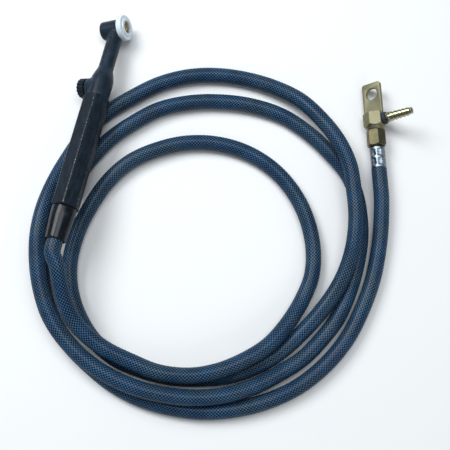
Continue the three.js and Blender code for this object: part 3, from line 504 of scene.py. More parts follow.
def floor_material(stage):
    """Pale paper, very slightly uneven."""
    s = Shader("floor_paper")
    cloud = s.noise(3, 2, 0.5)
    tone = s.mix(cloud, shade(stage.floor, 0.985), stage.floor)
    return s.finish(Base_Color=tone, Roughness=0.75 + cloud * 0.1, Specular_IOR_Level=0.2)


# ------------------------------------------------------------------ mesh helpers
def new_piece(name, mesh, material, nodes, body="torch"):
    """A visible piece that rides on a body and stands for CAD nodes."""
    piece = bpy.data.objects.new(name, mesh)
    bpy.context.scene.collection.objects.link(piece)
    mesh.materials.clear()
    mesh.materials.append(material)
    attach(piece, body)
    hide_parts(*nodes)
    return piece


def crease(mesh, degrees=34):
    """Smooth shading, with every edge sharper than the angle kept crisp. Faces are turned outwards."""
    edit = bmesh.new()
    edit.from_mesh(mesh)
    bmesh.ops.recalc_face_normals(edit, faces=edit.faces)
    limit = math.radians(degrees)
    for face in edit.faces:
        face.smooth = True
    for edge in edit.edges:
        edge.smooth = edge.calc_face_angle(0) < limit
    edit.to_mesh(mesh)
    edit.free()
    return mesh


def ring_mesh(name, rings, marks=None, closed=True):
    """A solid from rings of points that follow each other, and back to the first ring if closed.
    marks gives named values, one for each ring and point, that materials read."""
    rings = np.asarray(rings, dtype=float)
    count, size = rings.shape[:2]
    spans = count if closed else count - 1
    faces = []
    for i in range(spans):
        here, there = i * size, ((i + 1) % count) * size
        for j in range(size):
            k = (j + 1) % size
            faces.append((here + j, here + k, there + k, there + j))
    if not closed:
        faces.append(tuple(range(size))[::-1])
        faces.append(tuple(range((count - 1) * size, count * size)))
    mesh = bpy.data.meshes.new(name)
    mesh.from_pydata((rings.reshape(-1, 3) * MM).tolist(), [], faces)
    for key, values in (marks or {}).items():
        attribute = mesh.attributes.new(key, "FLOAT", "POINT")
        attribute.data.foreach_set("value", np.ravel(values).astype(np.float32))
    return mesh


def softened(profile, radius=0.25, steps=3, closed=True):
    """A profile with each corner rounded to the radius, or to what its shorter side allows."""
    points = [Vector(p) for p in profile]
    result = []
    for i, corner in enumerate(points):
        if not closed and i in (0, len(points) - 1):
            result.append(tuple(corner))
            continue
        before, after = points[i - 1] - corner, points[(i + 1) % len(points)] - corner
        if before.length < 1e-6 or after.length < 1e-6:
            continue
        cut = min(radius, before.length * 0.45, after.length * 0.45)
        start, end = corner + before.normalized() * cut, corner + after.normalized() * cut
        for k in range(steps + 1):
            t = k / steps
            result.append(tuple(start * (1 - t) ** 2 + corner * (2 * t * (1 - t)) + end * t**2))
    return result


def turned(name, profile, place, segments=96, shape=None, marks=None):
    """A ring turned about the place's Y axis from a closed profile of (radius, y). shape(radius, y, angle)
    changes the radius; marks are named functions of (radius, y)."""
    angles = np.arange(segments) * 2 * math.pi / segments
    rings = []
    for radius, y in profile:
        out = np.array([shape(radius, y, a) if shape else radius for a in angles])
        rings.append(np.stack([out * np.cos(angles), np.full(segments, y), out * np.sin(angles)], axis=1))
    rings = moved(np.array(rings), place)
    values = {key: [[mark(r, y)] * segments for r, y in profile] for key, mark in (marks or {}).items()}
    return ring_mesh(name, rings, values)


def moved(points, place):
    matrix = np.array(place)
    return points @ matrix[:3, :3].T + matrix[:3, 3]


def rod(radius, start, end, place, segments=64):
    """A plain closed cylinder, for cutting."""
    edit = bmesh.new()
    middle = place @ Matrix.Translation((0, (start + end) / 2, 0)) @ Matrix.Rotation(math.pi / 2, 4, "X")
    bmesh.ops.create_cone(
        edit, cap_ends=True, segments=segments, radius1=radius, radius2=radius, depth=end - start,
        matrix=middle,
    )
    return meshed(edit, "rod")


def meshed(edit, name):
    bmesh.ops.scale(edit, vec=(MM, MM, MM), verts=edit.verts)
    bmesh.ops.recalc_face_normals(edit, faces=edit.faces)
    mesh = bpy.data.meshes.new(name)
    edit.to_mesh(mesh)
    edit.free()
    return mesh


def lathed(profile, place, segments=72):
    """A closed solid turned from an open profile that starts and ends on the axis."""
    edit = bmesh.new()
    angles = [2 * math.pi * k / segments for k in range(segments)]
    rows = []
    for radius, y in profile:
        if radius < 1e-6:
            rows.append([edit.verts.new(place @ Vector((0, y, 0)))])
            continue
        ring = [Vector((radius * math.cos(a), y, radius * math.sin(a))) for a in angles]
        rows.append([edit.verts.new(place @ point) for point in ring])
    for low, high in zip(rows, rows[1:]):
        for k in range(segments):
            n = (k + 1) % segments
            if len(low) == 1:
                edit.faces.new((low[0], high[n], high[k]))
            elif len(high) == 1:
                edit.faces.new((low[k], low[n], high[0]))
            else:
                edit.faces.new((low[k], low[n], high[n], high[k]))
    return meshed(edit, "lathed")


def stacked(rows):
    """A closed solid in the rolled torch's frame, from outlines stacked on each other."""
    edit = bmesh.new()
    rows = [[edit.verts.new(ROLLED @ Vector(point)) for point in row] for row in rows]
    for low, high in zip(rows, rows[1:]):
        for k in range(len(low)):
            n = (k + 1) % len(low)
            edit.faces.new((low[k], low[n], high[n], high[k]))
    edit.faces.new(rows[0][::-1])
    edit.faces.new(rows[-1])
    return meshed(edit, "stacked")


def worked(data, *modifiers):
    """The mesh of a mesh or curve after modifiers. Each modifier is a kind and its settings; a mesh
    among the settings becomes an object."""
    scene = bpy.context.scene.collection
    holder = bpy.data.objects.new("work", data)
    scene.objects.link(holder)
    helpers = []
    for kind, settings in modifiers:
        modifier = holder.modifiers.new(kind.lower(), kind)
        for key, value in settings.items():
            if isinstance(value, bpy.types.Mesh):
                value = bpy.data.objects.new("cutter", value)
                scene.objects.link(value)
                helpers.append(value)
            setattr(modifier, key, value)
    graph = bpy.context.evaluated_depsgraph_get()
    result = bpy.data.meshes.new_from_object(holder.evaluated_get(graph))
    for item in (holder, *helpers):
        bpy.data.objects.remove(item)
    return result


def boolean(operation, tool):
    return "BOOLEAN", {"operation": operation, "solver": "EXACT", "object": tool}


def cut(mesh, *tools):
    return worked(mesh, *[boolean("DIFFERENCE", tool) for tool in tools])


def joined(*meshes):
    edit = bmesh.new()
    for mesh in meshes:
        edit.from_mesh(mesh)
    result = bpy.data.meshes.new("joined")
    edit.to_mesh(result)
    edit.free()
    return result


# ------------------------------------------------------------------ moulded body
def body_outline():
    """The torch body's outside, before its edges are blended."""
    spigot = HANDLE_BORE - GAP
    neck = NECK_RADIUS + 0.2  # smoothing takes it back
    bulb = [
        (0, JOINT - BODY_SPIGOT), (spigot, JOINT - BODY_SPIGOT), (spigot, JOINT), (BULB_RADIUS - 0.1, JOINT),
        (BULB_RADIUS + 0.1, JOINT + SHOULDER * 0.25), (BULB_RADIUS + 0.2, JOINT + SHOULDER * 0.5),
        (BULB_RADIUS, JOINT + SHOULDER * 0.64), (BULB_RADIUS - 0.8, JOINT + SHOULDER * 0.76),
        (neck + 0.9, JOINT + SHOULDER * 0.9), (neck + 0.1, JOINT + SHOULDER),
        (neck, JOINT + SHOULDER + 3), (neck, HEAD_Y), (0, HEAD_Y),
    ]
    boss = [
        (0, 0), (BULB_RADIUS, 0), (BOSS_RADIUS + 0.5, BOSS_REACH * 0.55), (BOSS_RADIUS, BOSS_REACH - 0.9),
        (BOSS_RADIUS - 0.7, BOSS_REACH), (0, BOSS_REACH),
    ]
    barrel = [(0, -HEAD_REAR)]
    for degrees in range(0, 91, 15):
        angle = math.radians(degrees)
        out = HEAD_RADIUS - HEAD_RIM + HEAD_RIM * math.sin(angle)
        barrel.append((out, -HEAD_REAR + HEAD_RIM * (1 - math.cos(angle))))
    barrel += [(HEAD_RADIUS, HEAD_FRONT), (0, HEAD_FRONT)]
    return joined(lathed(bulb, ROLLED), lathed(boss, VALVE), web_mesh(), lathed(barrel, HEAD))


def web_mesh():
    """The web that fairs the valve boss into the neck's shoulder: an outline with rounded sides."""
    outline = [
        (0, JOINT + 3), (0, JOINT + SHOULDER + 3), (-NECK_RADIUS + 2.2, JOINT + SHOULDER + 1.5),
        (-BOSS_REACH + 1.2, VALVE_Y + BOSS_RADIUS - 2.4), (-BOSS_REACH + 1.2, VALVE_Y - BOSS_RADIUS + 3),
    ]
    levels = [(-5.6, 2.2), (-4.9, 1.0), (-3.5, 0.2), (0, 0), (3.5, 0.2), (4.9, 1.0), (5.6, 2.2)]
    middle = Vector((-4, VALVE_Y + 2))
    rows = []
    for z, inset in levels:
        moves = [(middle - Vector(corner)).normalized() * inset for corner in outline]
        rows.append([(x + move.x, y + move.y, z) for (x, y), move in zip(outline, moves)])
    return stacked(rows)


def neck_pad(side):
    """A long shallow oval that is pressed into the neck's side."""
    start, end, half = JOINT + SHOULDER + 7, HEAD_Y - HEAD_RADIUS - 5, 2.2
    level = NECK_RADIUS - 0.5
    rows = []
    for z, grow in ((level, -0.25), (level + 0.08, -0.05), (level + 0.3, 0.12), (level + 3, 0.4)):
        row = []
        for k in range(24):
            angle = 2 * math.pi * k / 24
            middle = end - half if math.sin(angle) >= 0 else start + half
            reach = half + grow
            row.append((reach * math.cos(angle), middle + reach * math.sin(angle), z * side))
        rows.append(row)
    return stacked(rows)


def torch_body(settings):
    voxel = {"mode": "VOXEL", "voxel_size": settings.body_voxel, "use_smooth_shade": True}
    skin = worked(body_outline(), ("REMESH", voxel), ("SMOOTH", {"factor": 0.5, "iterations": 9}))
    skin = cut(
        skin,
        rod(CORE_RADIUS + GAP, -HEAD_REAR - 2, HEAD_FRONT + 3, HEAD),
        rod(GASKET_RADIUS + 0.4, HEAD_FRONT, GASKET_FRONT + 2, HEAD),
        rod(BLOCK_HOLE, JOINT - BODY_SPIGOT - 2, JOINT + BLOCK_FRONT + GAP, ROLLED),
        rod(NECK_HOLE, JOINT + BLOCK_FRONT, HEAD_Y, ROLLED, 40),
        rod(BOSS_BORE, 0, BOSS_REACH + 2, VALVE),
        neck_pad(1),
        neck_pad(-1),
    )
    return crease(skin, 40)


# ------------------------------------------------------------------ handle, sleeve, head and valve pieces
def hexagon_outline(flats, corner, arc=8, side=5):
    """Points of a hexagon with rounded corners, and how near each is to a corner."""
    points, nearness = [], []
    centre = (flats / 2 - corner) / math.cos(math.pi / 6)

    def rounded(middle, angle):
        x = centre * math.cos(middle) + corner * math.cos(angle)
        return x, centre * math.sin(middle) + corner * math.sin(angle)

    for i in range(6):
        middle = math.pi / 2 + i * math.pi / 3
        for k in range(arc + 1):
            angle = middle + (k / arc - 0.5) * math.pi / 3
            points.append(rounded(middle, angle))
            nearness.append(1 - abs(k / arc - 0.5) * 2)
        following = middle + math.pi / 3
        last = Vector(points[-1])
        first = Vector(rounded(following, following - math.pi / 6))
        for k in range(1, side):
            points.append(tuple(last.lerp(first, k / side)))
            nearness.append(0.0)
    return np.array(points), np.array(nearness)


def handle_mesh():
    """A six-sided tube whose corners are worn round at both ends. It marks how near each point is to
    a corner."""
    place = TORCH @ Matrix.Rotation(HANDLE_TURN, 4, "Y")
    outline, nearness = hexagon_outline(HANDLE_FLATS, HANDLE_CORNER)
    angles = np.arctan2(outline[:, 1], outline[:, 0])
    bore = np.stack([np.cos(angles), np.sin(angles)], axis=1) * HANDLE_BORE
    reach = np.hypot(outline[:, 0], outline[:, 1])
    stations = [(0.0, 1.5), (0.15, 1.0), (0.5, 0.5), (1.2, 0.2), (2.6, 0.0)]
    middle = [(2.6 + (HANDLE_LENGTH - 5.2) * k / 40, 0.0) for k in range(1, 40)]
    ends = stations + middle + [(HANDLE_LENGTH - y, inset) for y, inset in stations[::-1]]
    rings, corner = [], []
    for y, inset in ends:
        limit = HANDLE_FLATS / math.sqrt(3) - 0.3 - inset
        shrink = np.minimum(1, limit / reach) if inset else np.ones_like(reach)
        around = outline * shrink[:, None]
        rings.append(np.stack([around[:, 0], np.full(len(reach), HANDLE_START + y), around[:, 1]], axis=1))
        corner.append(nearness * (0.4 if inset > 0.4 else 1.0))
    for y in (HANDLE_LENGTH - 0.01, HANDLE_LENGTH / 2, 0.01):
        rings.append(np.stack([bore[:, 0], np.full(len(reach), HANDLE_START + y), bore[:, 1]], axis=1))
        corner.append(nearness * 0)
    return crease(ring_mesh("handle", moved(np.array(rings), place), {"corner": np.array(corner)}), 30)


def sleeve_mesh():
    """Tapered up to the handle's width, then straight, with the spigot that the handle holds."""
    front = HANDLE_FLATS / 2 - 0.2
    spigot = HANDLE_BORE - GAP
    profile = [(SLEEVE_BORE + 0.1, 0.0), (SLEEVE_MOUTH_RADIUS, 0.0)]
    for k in range(1, 12):
        t = k / 12
        share = t * 1.25 if t < 0.78 else 0.975 + (t - 0.78) * 0.1
        profile.append((SLEEVE_MOUTH_RADIUS + (front - SLEEVE_MOUTH_RADIUS) * share, SLEEVE_LENGTH * t))
    profile += [
        (front, SLEEVE_LENGTH), (spigot, SLEEVE_LENGTH), (spigot, SLEEVE_LENGTH + SLEEVE_SPIGOT),
        (SLEEVE_BORE, SLEEVE_LENGTH + SLEEVE_SPIGOT), (SLEEVE_BORE, 0.6),
    ]
    return crease(turned("rear_sleeve", softened(profile, 0.45), TORCH, 96), 40)


def gasket_mesh():
    """A ring with a round rim and a step round its bore. It marks where grime gathers, at the bore."""
    profile = [
        (CORE_RADIUS + GAP, GASKET_BACK), (GASKET_RADIUS, GASKET_BACK),
        (GASKET_RADIUS, GASKET_FRONT - 1.0), (GASKET_STEP_RADIUS + 0.25, GASKET_FRONT - 1.0),
        (GASKET_STEP_RADIUS, GASKET_FRONT), (GASKET_BORE, GASKET_FRONT),
        (GASKET_BORE, GASKET_FRONT - GASKET_LIP), (CORE_RADIUS + GAP, GASKET_FRONT - GASKET_LIP),
    ]
    radii = (0.2, 0.9, 1.21, 0.2, 0.35, 0.5, 0.2, 0.2)
    smooth = []
    for i, radius in enumerate(radii):
        corner = [profile[i - 1], profile[i], profile[(i + 1) % len(profile)]]
        smooth += softened(corner, radius, 6, closed=False)[1:-1]
    grime = {"grime": lambda r, y: max(0.0, min(1.0, (GASKET_BORE + 1.6 - r) / 1.6))}
    return crease(turned("gasket", smooth, HEAD, 128, marks=grime), 50)


def thread_teeth(start, end, turns):
    """The profile of an inside thread."""
    step = (end - start) / turns
    tooth = ((THREAD_CREST, 0.05), (THREAD_CREST, 0.2), (THREAD_ROOT, 0.55), (THREAD_ROOT, 0.7))
    teeth = []
    for i in range(turns):
        teeth += [(radius, start + step * (i + share)) for radius, share in tooth]
    return teeth + [(THREAD_CREST, end)]


def head_core_mesh():
    """A sleeve threaded from both ends, with a narrower way between the threads."""
    front_end, rear_end = CORE_FRONT - 6.6, CORE_BACK + 5.1
    profile = [
        (CORE_RADIUS - 0.35, CORE_BACK), (CORE_RADIUS, CORE_BACK + 0.35), (CORE_RADIUS, CORE_FRONT - 0.3),
        (CORE_RADIUS - 0.3, CORE_FRONT), (THREAD_ROOT, CORE_FRONT),
        *thread_teeth(CORE_FRONT - 0.4, front_end, 4), (CORE_PASSAGE, front_end - 1),
        (CORE_PASSAGE, rear_end + 1), *thread_teeth(rear_end, CORE_BACK + 0.4, 3), (THREAD_ROOT, CORE_BACK),
    ]
    return crease(turned("head_core", softened(profile, 0.12, 2), HEAD, 96), 35)


def knob_mesh(settings):
    """Rounded ribs with narrow grooves on the side, a domed outer face and a recess for the screw."""
    side_from, side_to = KNOB_START + 0.5, KNOB_END - 1.2
    ribs, depth = settings.knob_ribs, settings.knob_groove / MM

    def rib(radius, y, angle):
        if radius < KNOB_RADIUS - 2.6:
            return radius
        share = (angle * ribs / (2 * math.pi)) % 1.0
        groove = math.exp(-(((share - 0.5) / 0.17) ** 2))
        if share > 0:
            groove += 0.12 * (1 - 2 * share) ** 2
        weight = min(1.0, max(0.0, (radius - KNOB_RADIUS + 2.4) / 1.6))
        return radius - depth * groove * weight

    profile = [(6.0, KNOB_START), (KNOB_RADIUS, KNOB_START)]
    profile += [(KNOB_RADIUS, side_from + (side_to - side_from) * k / 8) for k in range(9)]
    profile += [
        (KNOB_RADIUS - 0.35, KNOB_END - 0.7), (KNOB_RADIUS - 1.0, KNOB_END - 0.25),
        (KNOB_RADIUS - 2.2, KNOB_END), (3.4, KNOB_END), (2.9, KNOB_END - 0.4), (2.9, SPINDLE_END + GAP),
        (SPINDLE_RADIUS + GAP, SPINDLE_END + GAP), (SPINDLE_RADIUS + GAP, KNOB_START + 2.4),
        (6.0, KNOB_START + 2.4),
    ]
    return crease(turned("valve_knob", softened(profile, 0.3, 3), VALVE, ribs * 14, rib), 50)


def screw_mesh():
    """A pan head with a slot, on a short shank."""
    tip, under, top = SPINDLE_END - 4, SPINDLE_END + 2 * GAP, KNOB_END - 0.3
    head = SCREW_HEAD_RADIUS
    outline = [(0, tip), (0.65, tip), (0.65, under), (head, under), (head, top - 0.6)]
    outline += [(head - 0.25, top - 0.2), (head - 0.9, top), (0, top)]
    edit = bmesh.new()
    slot = VALVE @ Matrix.Translation((0, top, 0)) @ Matrix.Diagonal((6, 1.4, 0.6, 1))
    bmesh.ops.create_cube(edit, size=1, matrix=slot)
    return crease(cut(lathed(outline, VALVE, 48), meshed(edit, "slot")), 35)


# ------------------------------------------------------------------ connector pieces
def ferrule_mesh():
    """A sleeve pressed to eight flats in two bands."""
    bands = ((2.2, 8.3), (10.0, 16.1))

    def crimp(radius, y, angle):
        if radius < FERRULE_BORE + 0.5:
            return radius
        step = math.pi / 4
        flat = FERRULE_FLATS / 2 / math.cos((angle + step / 2) % step - step / 2)
        press = max(min(1, (y - a) / 0.7, (b - y) / 0.7) for a, b in bands)
        pinch = 0.16 * max(0.0, press) * (math.cos(angle * 8) * 0.5 + 0.5)
        return radius - max(0.0, press) * max(0.0, radius - flat) - pinch

    profile = [(FERRULE_BORE, 0.0), (FERRULE_RADIUS - 0.3, 0.0), (FERRULE_RADIUS, 0.35)]
    profile += [(FERRULE_RADIUS, 0.35 + (FERRULE_LENGTH - 0.75) * k / 60) for k in range(1, 60)]
    profile += [
        (FERRULE_RADIUS, FERRULE_LENGTH - 0.4), (FERRULE_RADIUS - 0.4, FERRULE_LENGTH),
        (FERRULE_BORE, FERRULE_LENGTH),
    ]
    return crease(turned("ferrule", profile, CONNECTOR, 128, crimp), 40)


def hexagonal(flats, round_off):
    """A radius function: a hexagon with a corner towards the place's Z axis, its corners turned down
    to a circle."""

    def radius(outer, y, angle):
        if outer < flats / 2 - 0.9:
            return outer
        side = flats / 2 / math.cos((angle + math.pi / 6) % (math.pi / 3) - math.pi / 6)
        return min(side, outer, flats / math.sqrt(3) - round_off)

    return radius


def union_nut_mesh():
    """A hexagon nut, turned down at its rear, with a floor that draws the spigot."""
    reach = NUT_FLATS / math.sqrt(3) + 0.1
    low = NUT_FLATS / 2 - 0.5
    profile = [(NUT_HOLE, NUT_START), (low, NUT_START)]
    profile += [(low + (reach - low) * k / 5, NUT_START + 1.5 * k / 5) for k in range(1, 6)]
    profile += [(reach, NUT_START + 1.5 + (NUT_LENGTH - 2.2) * k / 6) for k in range(1, 7)]
    profile += [
        (reach - 0.4, NUT_END - 0.35), (reach - 0.9, NUT_END), (NUT_BORE, NUT_END),
        (NUT_BORE, NUT_START + NUT_FLOOR), (NUT_HOLE, NUT_START + NUT_FLOOR),
    ]
    return crease(turned("union_nut", profile, CONNECTOR, 180, hexagonal(NUT_FLATS, 0.15)), 25)


def lug_plate():
    """The flat lug with rounded corners, a bevelled edge and its hole."""
    half, bevel = HEX_FLATS / 2, 0.3
    curve = bpy.data.curves.new("lug", "CURVE")
    curve.dimensions = "2D"
    curve.fill_mode = "BOTH"
    curve.extrude = (LUG_THICKNESS / 2 - bevel) * MM
    curve.bevel_depth = bevel * MM
    curve.bevel_resolution = 2
    curve.offset = -bevel * MM
    outline = [(-half, HEX_END - 2), (half, HEX_END - 2)]
    for centre, start in ((half - LUG_CORNER, 0), (-half + LUG_CORNER, 90)):
        for k in range(9):
            angle = math.radians(start + 90 * k / 8)
            x = centre + LUG_CORNER * math.cos(angle)
            outline.append((x, LUG_END - LUG_CORNER + LUG_CORNER * math.sin(angle)))
    hole = []
    for k in range(72):
        angle = -2 * math.pi * k / 72
        hole.append((LUG_HOLE / 2 * math.cos(angle), LUG_HOLE_Y + LUG_HOLE / 2 * math.sin(angle)))
    for points in (outline, hole):
        spline = curve.splines.new("POLY")
        spline.points.add(len(points) - 1)
        spline.use_cyclic_u = True
        for point, (x, y) in zip(spline.points, points):
            point.co = (x * MM, y * MM, 0, 1)
    mesh = worked(curve)
    mesh.transform(Matrix.Scale(MM, 4) @ LUG @ Matrix.Scale(1 / MM, 4))
    return welded(mesh)


def welded(mesh):
    edit = bmesh.new()
    edit.from_mesh(mesh)
    bmesh.ops.remove_doubles(edit, verts=edit.verts, dist=1e-6)
    bmesh.ops.recalc_face_normals(edit, faces=edit.faces)
    edit.to_mesh(mesh)
    edit.free()
    return mesh


def lug_block_mesh():
    """A hexagon block with its male end, its flat lug and the ways for the gas, in one piece."""
    reach = HEX_FLATS / math.sqrt(3) + 0.1
    low = HEX_FLATS / 2 - 0.5
    profile = [(MALE_RADIUS - 1.6, HEX_START - 2.0), (low - 1.2, HEX_START - 0.4), (low, HEX_START)]
    profile += [(low + (reach - low) * k / 6, HEX_START + 2 * k / 6) for k in range(1, 7)]
    profile += [(reach, HEX_START + 2 + (HEX_LENGTH - 2.4) * k / 5) for k in range(1, 6)]
    profile += [
        (reach - 0.4, HEX_END - 0.1), (reach - 0.8, HEX_END), (PASSAGE + 1, HEX_END),
        (PASSAGE + 1, HEX_START),
    ]
    block = turned("block", profile, LUG, 180, hexagonal(HEX_FLATS, 0.2))
    core = lathed([(0, HEX_START - 1), (4, HEX_START - 1), (4, HEX_END - 0.4), (0, HEX_END - 0.4)], LUG, 48)
    male_start = CONE_START - MALE_LENGTH
    cone = [
        (0, male_start), (MALE_RADIUS - 0.5, male_start), (MALE_RADIUS, male_start + 0.5),
        (MALE_RADIUS, CONE_START), (NUT_FLATS / 2 - 0.7, CONE_START), (NUT_FLATS / 2 - 0.4, CONE_START + 0.3),
        (HEX_FLATS / 2 - 0.75, HEX_START - 0.2), (HEX_FLATS / 2 - 0.9, HEX_START + 0.3), (0, HEX_START + 0.3),
    ]
    added = (core, lathed(cone, LUG, 96), lug_plate())
    whole = worked(welded(block), *[boolean("UNION", mesh) for mesh in added])
    whole = cut(
        whole,
        rod(PASSAGE, male_start - 1, BARB_Y, LUG, 32),
        rod(PASSAGE, 0, HEX_FLATS, SIDE, 32),
        rod(BARB_STUB_RADIUS + GAP, BARB_STUB_START, HEX_FLATS, SIDE, 48),
    )
    return crease(whole, 25)


def seal_mesh():
    """A round-edged ring."""
    start = HEX_FLATS / 2 + GAP
    end = start + SEAL_THICKNESS
    inner = BARB_STUB_RADIUS + GAP
    profile = [(inner, start), (SEAL_RADIUS, start), (SEAL_RADIUS, end), (inner, end)]
    return crease(turned("barb_seal", softened(profile, 0.8, 5), SIDE, 72), 60)


def barb_mesh():
    """A hose tail with saw-tooth ridges, each a little smaller than the one before."""
    foot = HEX_FLATS / 2 + SEAL_THICKNESS + 2 * GAP
    tip = foot + BARB_LENGTH
    first = foot + 4
    step = (tip - 1.5 - first) / BARB_RIDGES
    bore = PASSAGE - 0.2
    profile = [
        (bore, BARB_STUB_START + GAP), (BARB_STUB_RADIUS, BARB_STUB_START + GAP), (BARB_STUB_RADIUS, foot),
        (BARB_ROOT_RADIUS + 0.1, foot), (BARB_ROOT_RADIUS + 0.1, foot + 2.6), (BARB_ROOT_RADIUS - 0.9, first),
    ]
    for i in range(BARB_RIDGES):
        radius = BARB_ROOT_RADIUS + (BARB_TIP_RADIUS - BARB_ROOT_RADIUS) * i / BARB_RIDGES
        profile += [(radius, first + step * i + 0.45), (radius - 0.05, first + step * i + 0.75)]
        profile.append((radius - 0.9, first + step * (i + 1)))
    profile += [(BARB_TIP_RADIUS - 0.5, tip), (bore, tip)]
    return crease(turned("gas_barb", softened(profile, 0.12, 2), SIDE, 72), 30)


# ------------------------------------------------------------------ hose
def curve_points(points, spacing):
    """Points at an even spacing on the centripetal Catmull-Rom curve through the given points."""
    points = np.array(points, dtype=float)
    whole = np.vstack([2 * points[0] - points[1], points, 2 * points[-1] - points[-2]])
    fine = []
    for k in range(1, len(whole) - 2):
        p0, p1, p2, p3 = whole[k - 1 : k + 3]
        d0, d1, d2 = (np.linalg.norm(b - a) ** 0.5 for a, b in ((p0, p1), (p1, p2), (p2, p3)))
        t1 = ((p1 - p0) / d0 - (p2 - p0) / (d0 + d1) + (p2 - p1) / d1) * d1
        t2 = ((p2 - p1) / d1 - (p3 - p1) / (d1 + d2) + (p3 - p2) / d2) * d1
        for t in np.arange(40) / 40:
            a, b = 2 * t**3 - 3 * t**2 + 1, t**3 - 2 * t**2 + t
            fine.append(a * p1 + b * t1 + (3 * t**2 - 2 * t**3) * p2 + (t**3 - t**2) * t2)
    fine.append(points[-1])
    fine = np.array(fine)
    run = np.concatenate([[0], np.cumsum(np.linalg.norm(np.diff(fine, axis=0), axis=1))])
    count = max(2, round(run[-1] / spacing))
    stops = np.linspace(0, run[-1], count + 1)
    return np.stack([np.interp(stops, run, fine[:, axis]) for axis in range(3)], axis=1), run[-1]


def braided_tube(name, route, settings):
    """A tube whose skin is a lattice of raised diamonds, with its bore open at both ends."""
    sides = settings.braid_cells * 2
    relief = settings.braid_relief / MM
    cell = 2 * math.pi * HOSE_RADIUS / settings.braid_cells
    centres, length = curve_points(route, cell / 2)
    centres[:, 2] = np.maximum(centres[:, 2], HOSE_RADIUS)
    heading = np.gradient(centres, axis=0)
    heading /= np.linalg.norm(heading, axis=1)[:, None]
    side = np.cross(heading[0], (0, 0, 1.0))
    side /= np.linalg.norm(side)
    angles = np.arange(sides) * 2 * math.pi / sides
    rings, parity = [], np.where(np.arange(sides) % 2 == 0, -1.0, 1.0)
    for i, (centre, forward) in enumerate(zip(centres, heading)):
        side = side - forward * side.dot(forward)
        side /= np.linalg.norm(side)
        other = np.cross(forward, side)
        radius = HOSE_RADIUS - relief + relief * parity * (1 if i % 2 == 0 else -1)
        around = np.outer(np.cos(angles), side) + np.outer(np.sin(angles), other)
        rings.append(centre + around * radius[:, None])
    inner = []
    for i in (-1, 0):
        around = rings[i] - centres[i]
        around /= np.linalg.norm(around, axis=1)[:, None]
        depth = heading[i] * (-2 if i == -1 else 2)
        inner.append((centres[i] + around * HOSE_BORE, centres[i] + depth + around * HOSE_BORE))
    return tube_mesh(name, np.array(rings), inner, sides), centres, length


def tube_mesh(name, rings, inner, sides):
    """The outer rings, a rim at each end, and a floor a little way into the bore."""
    count = len(rings)
    rows = [inner[1][1], inner[1][0], *rings, inner[0][0], inner[0][1]]
    mesh = ring_mesh(name, rows, closed=False)
    layer = mesh.uv_layers.new(name="braid")
    cells = np.zeros((len(mesh.loops), 2), dtype=np.float32)
    total = len(rows)
    index = np.zeros(len(mesh.loops), dtype=np.int32)
    mesh.loops.foreach_get("vertex_index", index)
    quads = (total - 1) * sides * 4
    row, column = index // sides, index % sides
    seam = np.zeros(len(index), dtype=bool)
    first = column[:quads].reshape(-1, 4)
    wraps = (first == sides - 1).any(axis=1) & (first == 0).any(axis=1)
    seam[:quads] = (wraps[:, None] & (first == 0)).reshape(-1)
    cells[:, 0] = (column + seam * sides) * 0.5
    cells[:, 1] = np.clip(row - 2, -1, count) * 0.5
    layer.data.foreach_set("uv", cells.ravel())
    return crease(mesh, 70)


def along(place, distance):
    return tuple(place @ Vector((0, distance, 0)))


# ------------------------------------------------------------------ operators
class BuildStage(bpy.types.Operator):
    """Makes the floor, the soft studio light and the camera"""

    bl_idname = "torch.stage"
    bl_label = "Stage"

    def execute(self, context):
        stage = context.scene.torch_stage
        self.floor(stage)
        self.lights(stage)
        self.camera(stage)
        return {"FINISHED"}

    def floor(self, stage):
        edit = bmesh.new()
        bmesh.ops.create_grid(edit, x_segments=8, y_segments=8, size=3)
        mesh = bpy.data.meshes.new("floor")
        edit.to_mesh(mesh)
        edit.free()
        mesh.materials.append(floor_material(stage))
        floor = bpy.data.objects.new("floor", mesh)
        floor.location = (0.12, -0.06, 0)
        bpy.context.scene.collection.objects.link(floor)

    def lights(self, stage):
        middle = Vector((0.12, -0.06, 0))
        softboxes = (
            ("key", (-0.8, 0.45, 1.15), (0.7, 0.7), 16.5, (0.96, 0.985, 1.0)),
            ("top", (0.1, 0.35, 1.6), (1.0, 0.7), 11, (0.94, 0.98, 1.0)),
            ("fill", (1.0, -0.7, 0.9), (0.9, 0.7), 3, (0.92, 0.97, 1.0)),
        )
        for name, offset, size, power, colour in softboxes:
            light = bpy.data.lights.new(name, "AREA")
            light.shape = "RECTANGLE"
            light.size, light.size_y = size
            light.energy = power * stage.light
            light.color = colour
            lamp = bpy.data.objects.new(name, light)
            lamp.location = middle + Vector(offset)
            lamp.rotation_euler = (middle - lamp.location).to_track_quat("-Z", "Y").to_euler()
            bpy.context.scene.collection.objects.link(lamp)
        world = bpy.data.worlds.new("studio")
        world.use_nodes = True
        background = world.node_tree.nodes["Background"]
        background.inputs["Color"].default_value = (0.95, 0.97, 1.0, 1)
        background.inputs["Strength"].default_value = 0.2 * stage.light
        bpy.context.scene.world = world
        bpy.context.scene.view_settings.view_transform = "Standard"

    def camera(self, stage):
        data = bpy.data.cameras.new("camera")
        data.lens = stage.lens
        data.sensor_width = 36
        camera = bpy.data.objects.new("camera", data)
        camera.location = stage.camera
        look = Vector(stage.target) - Vector(stage.camera)
        camera.rotation_euler = look.to_track_quat("-Z", "Y").to_euler()
        bpy.context.scene.collection.objects.link(camera)
        bpy.context.scene.camera = camera


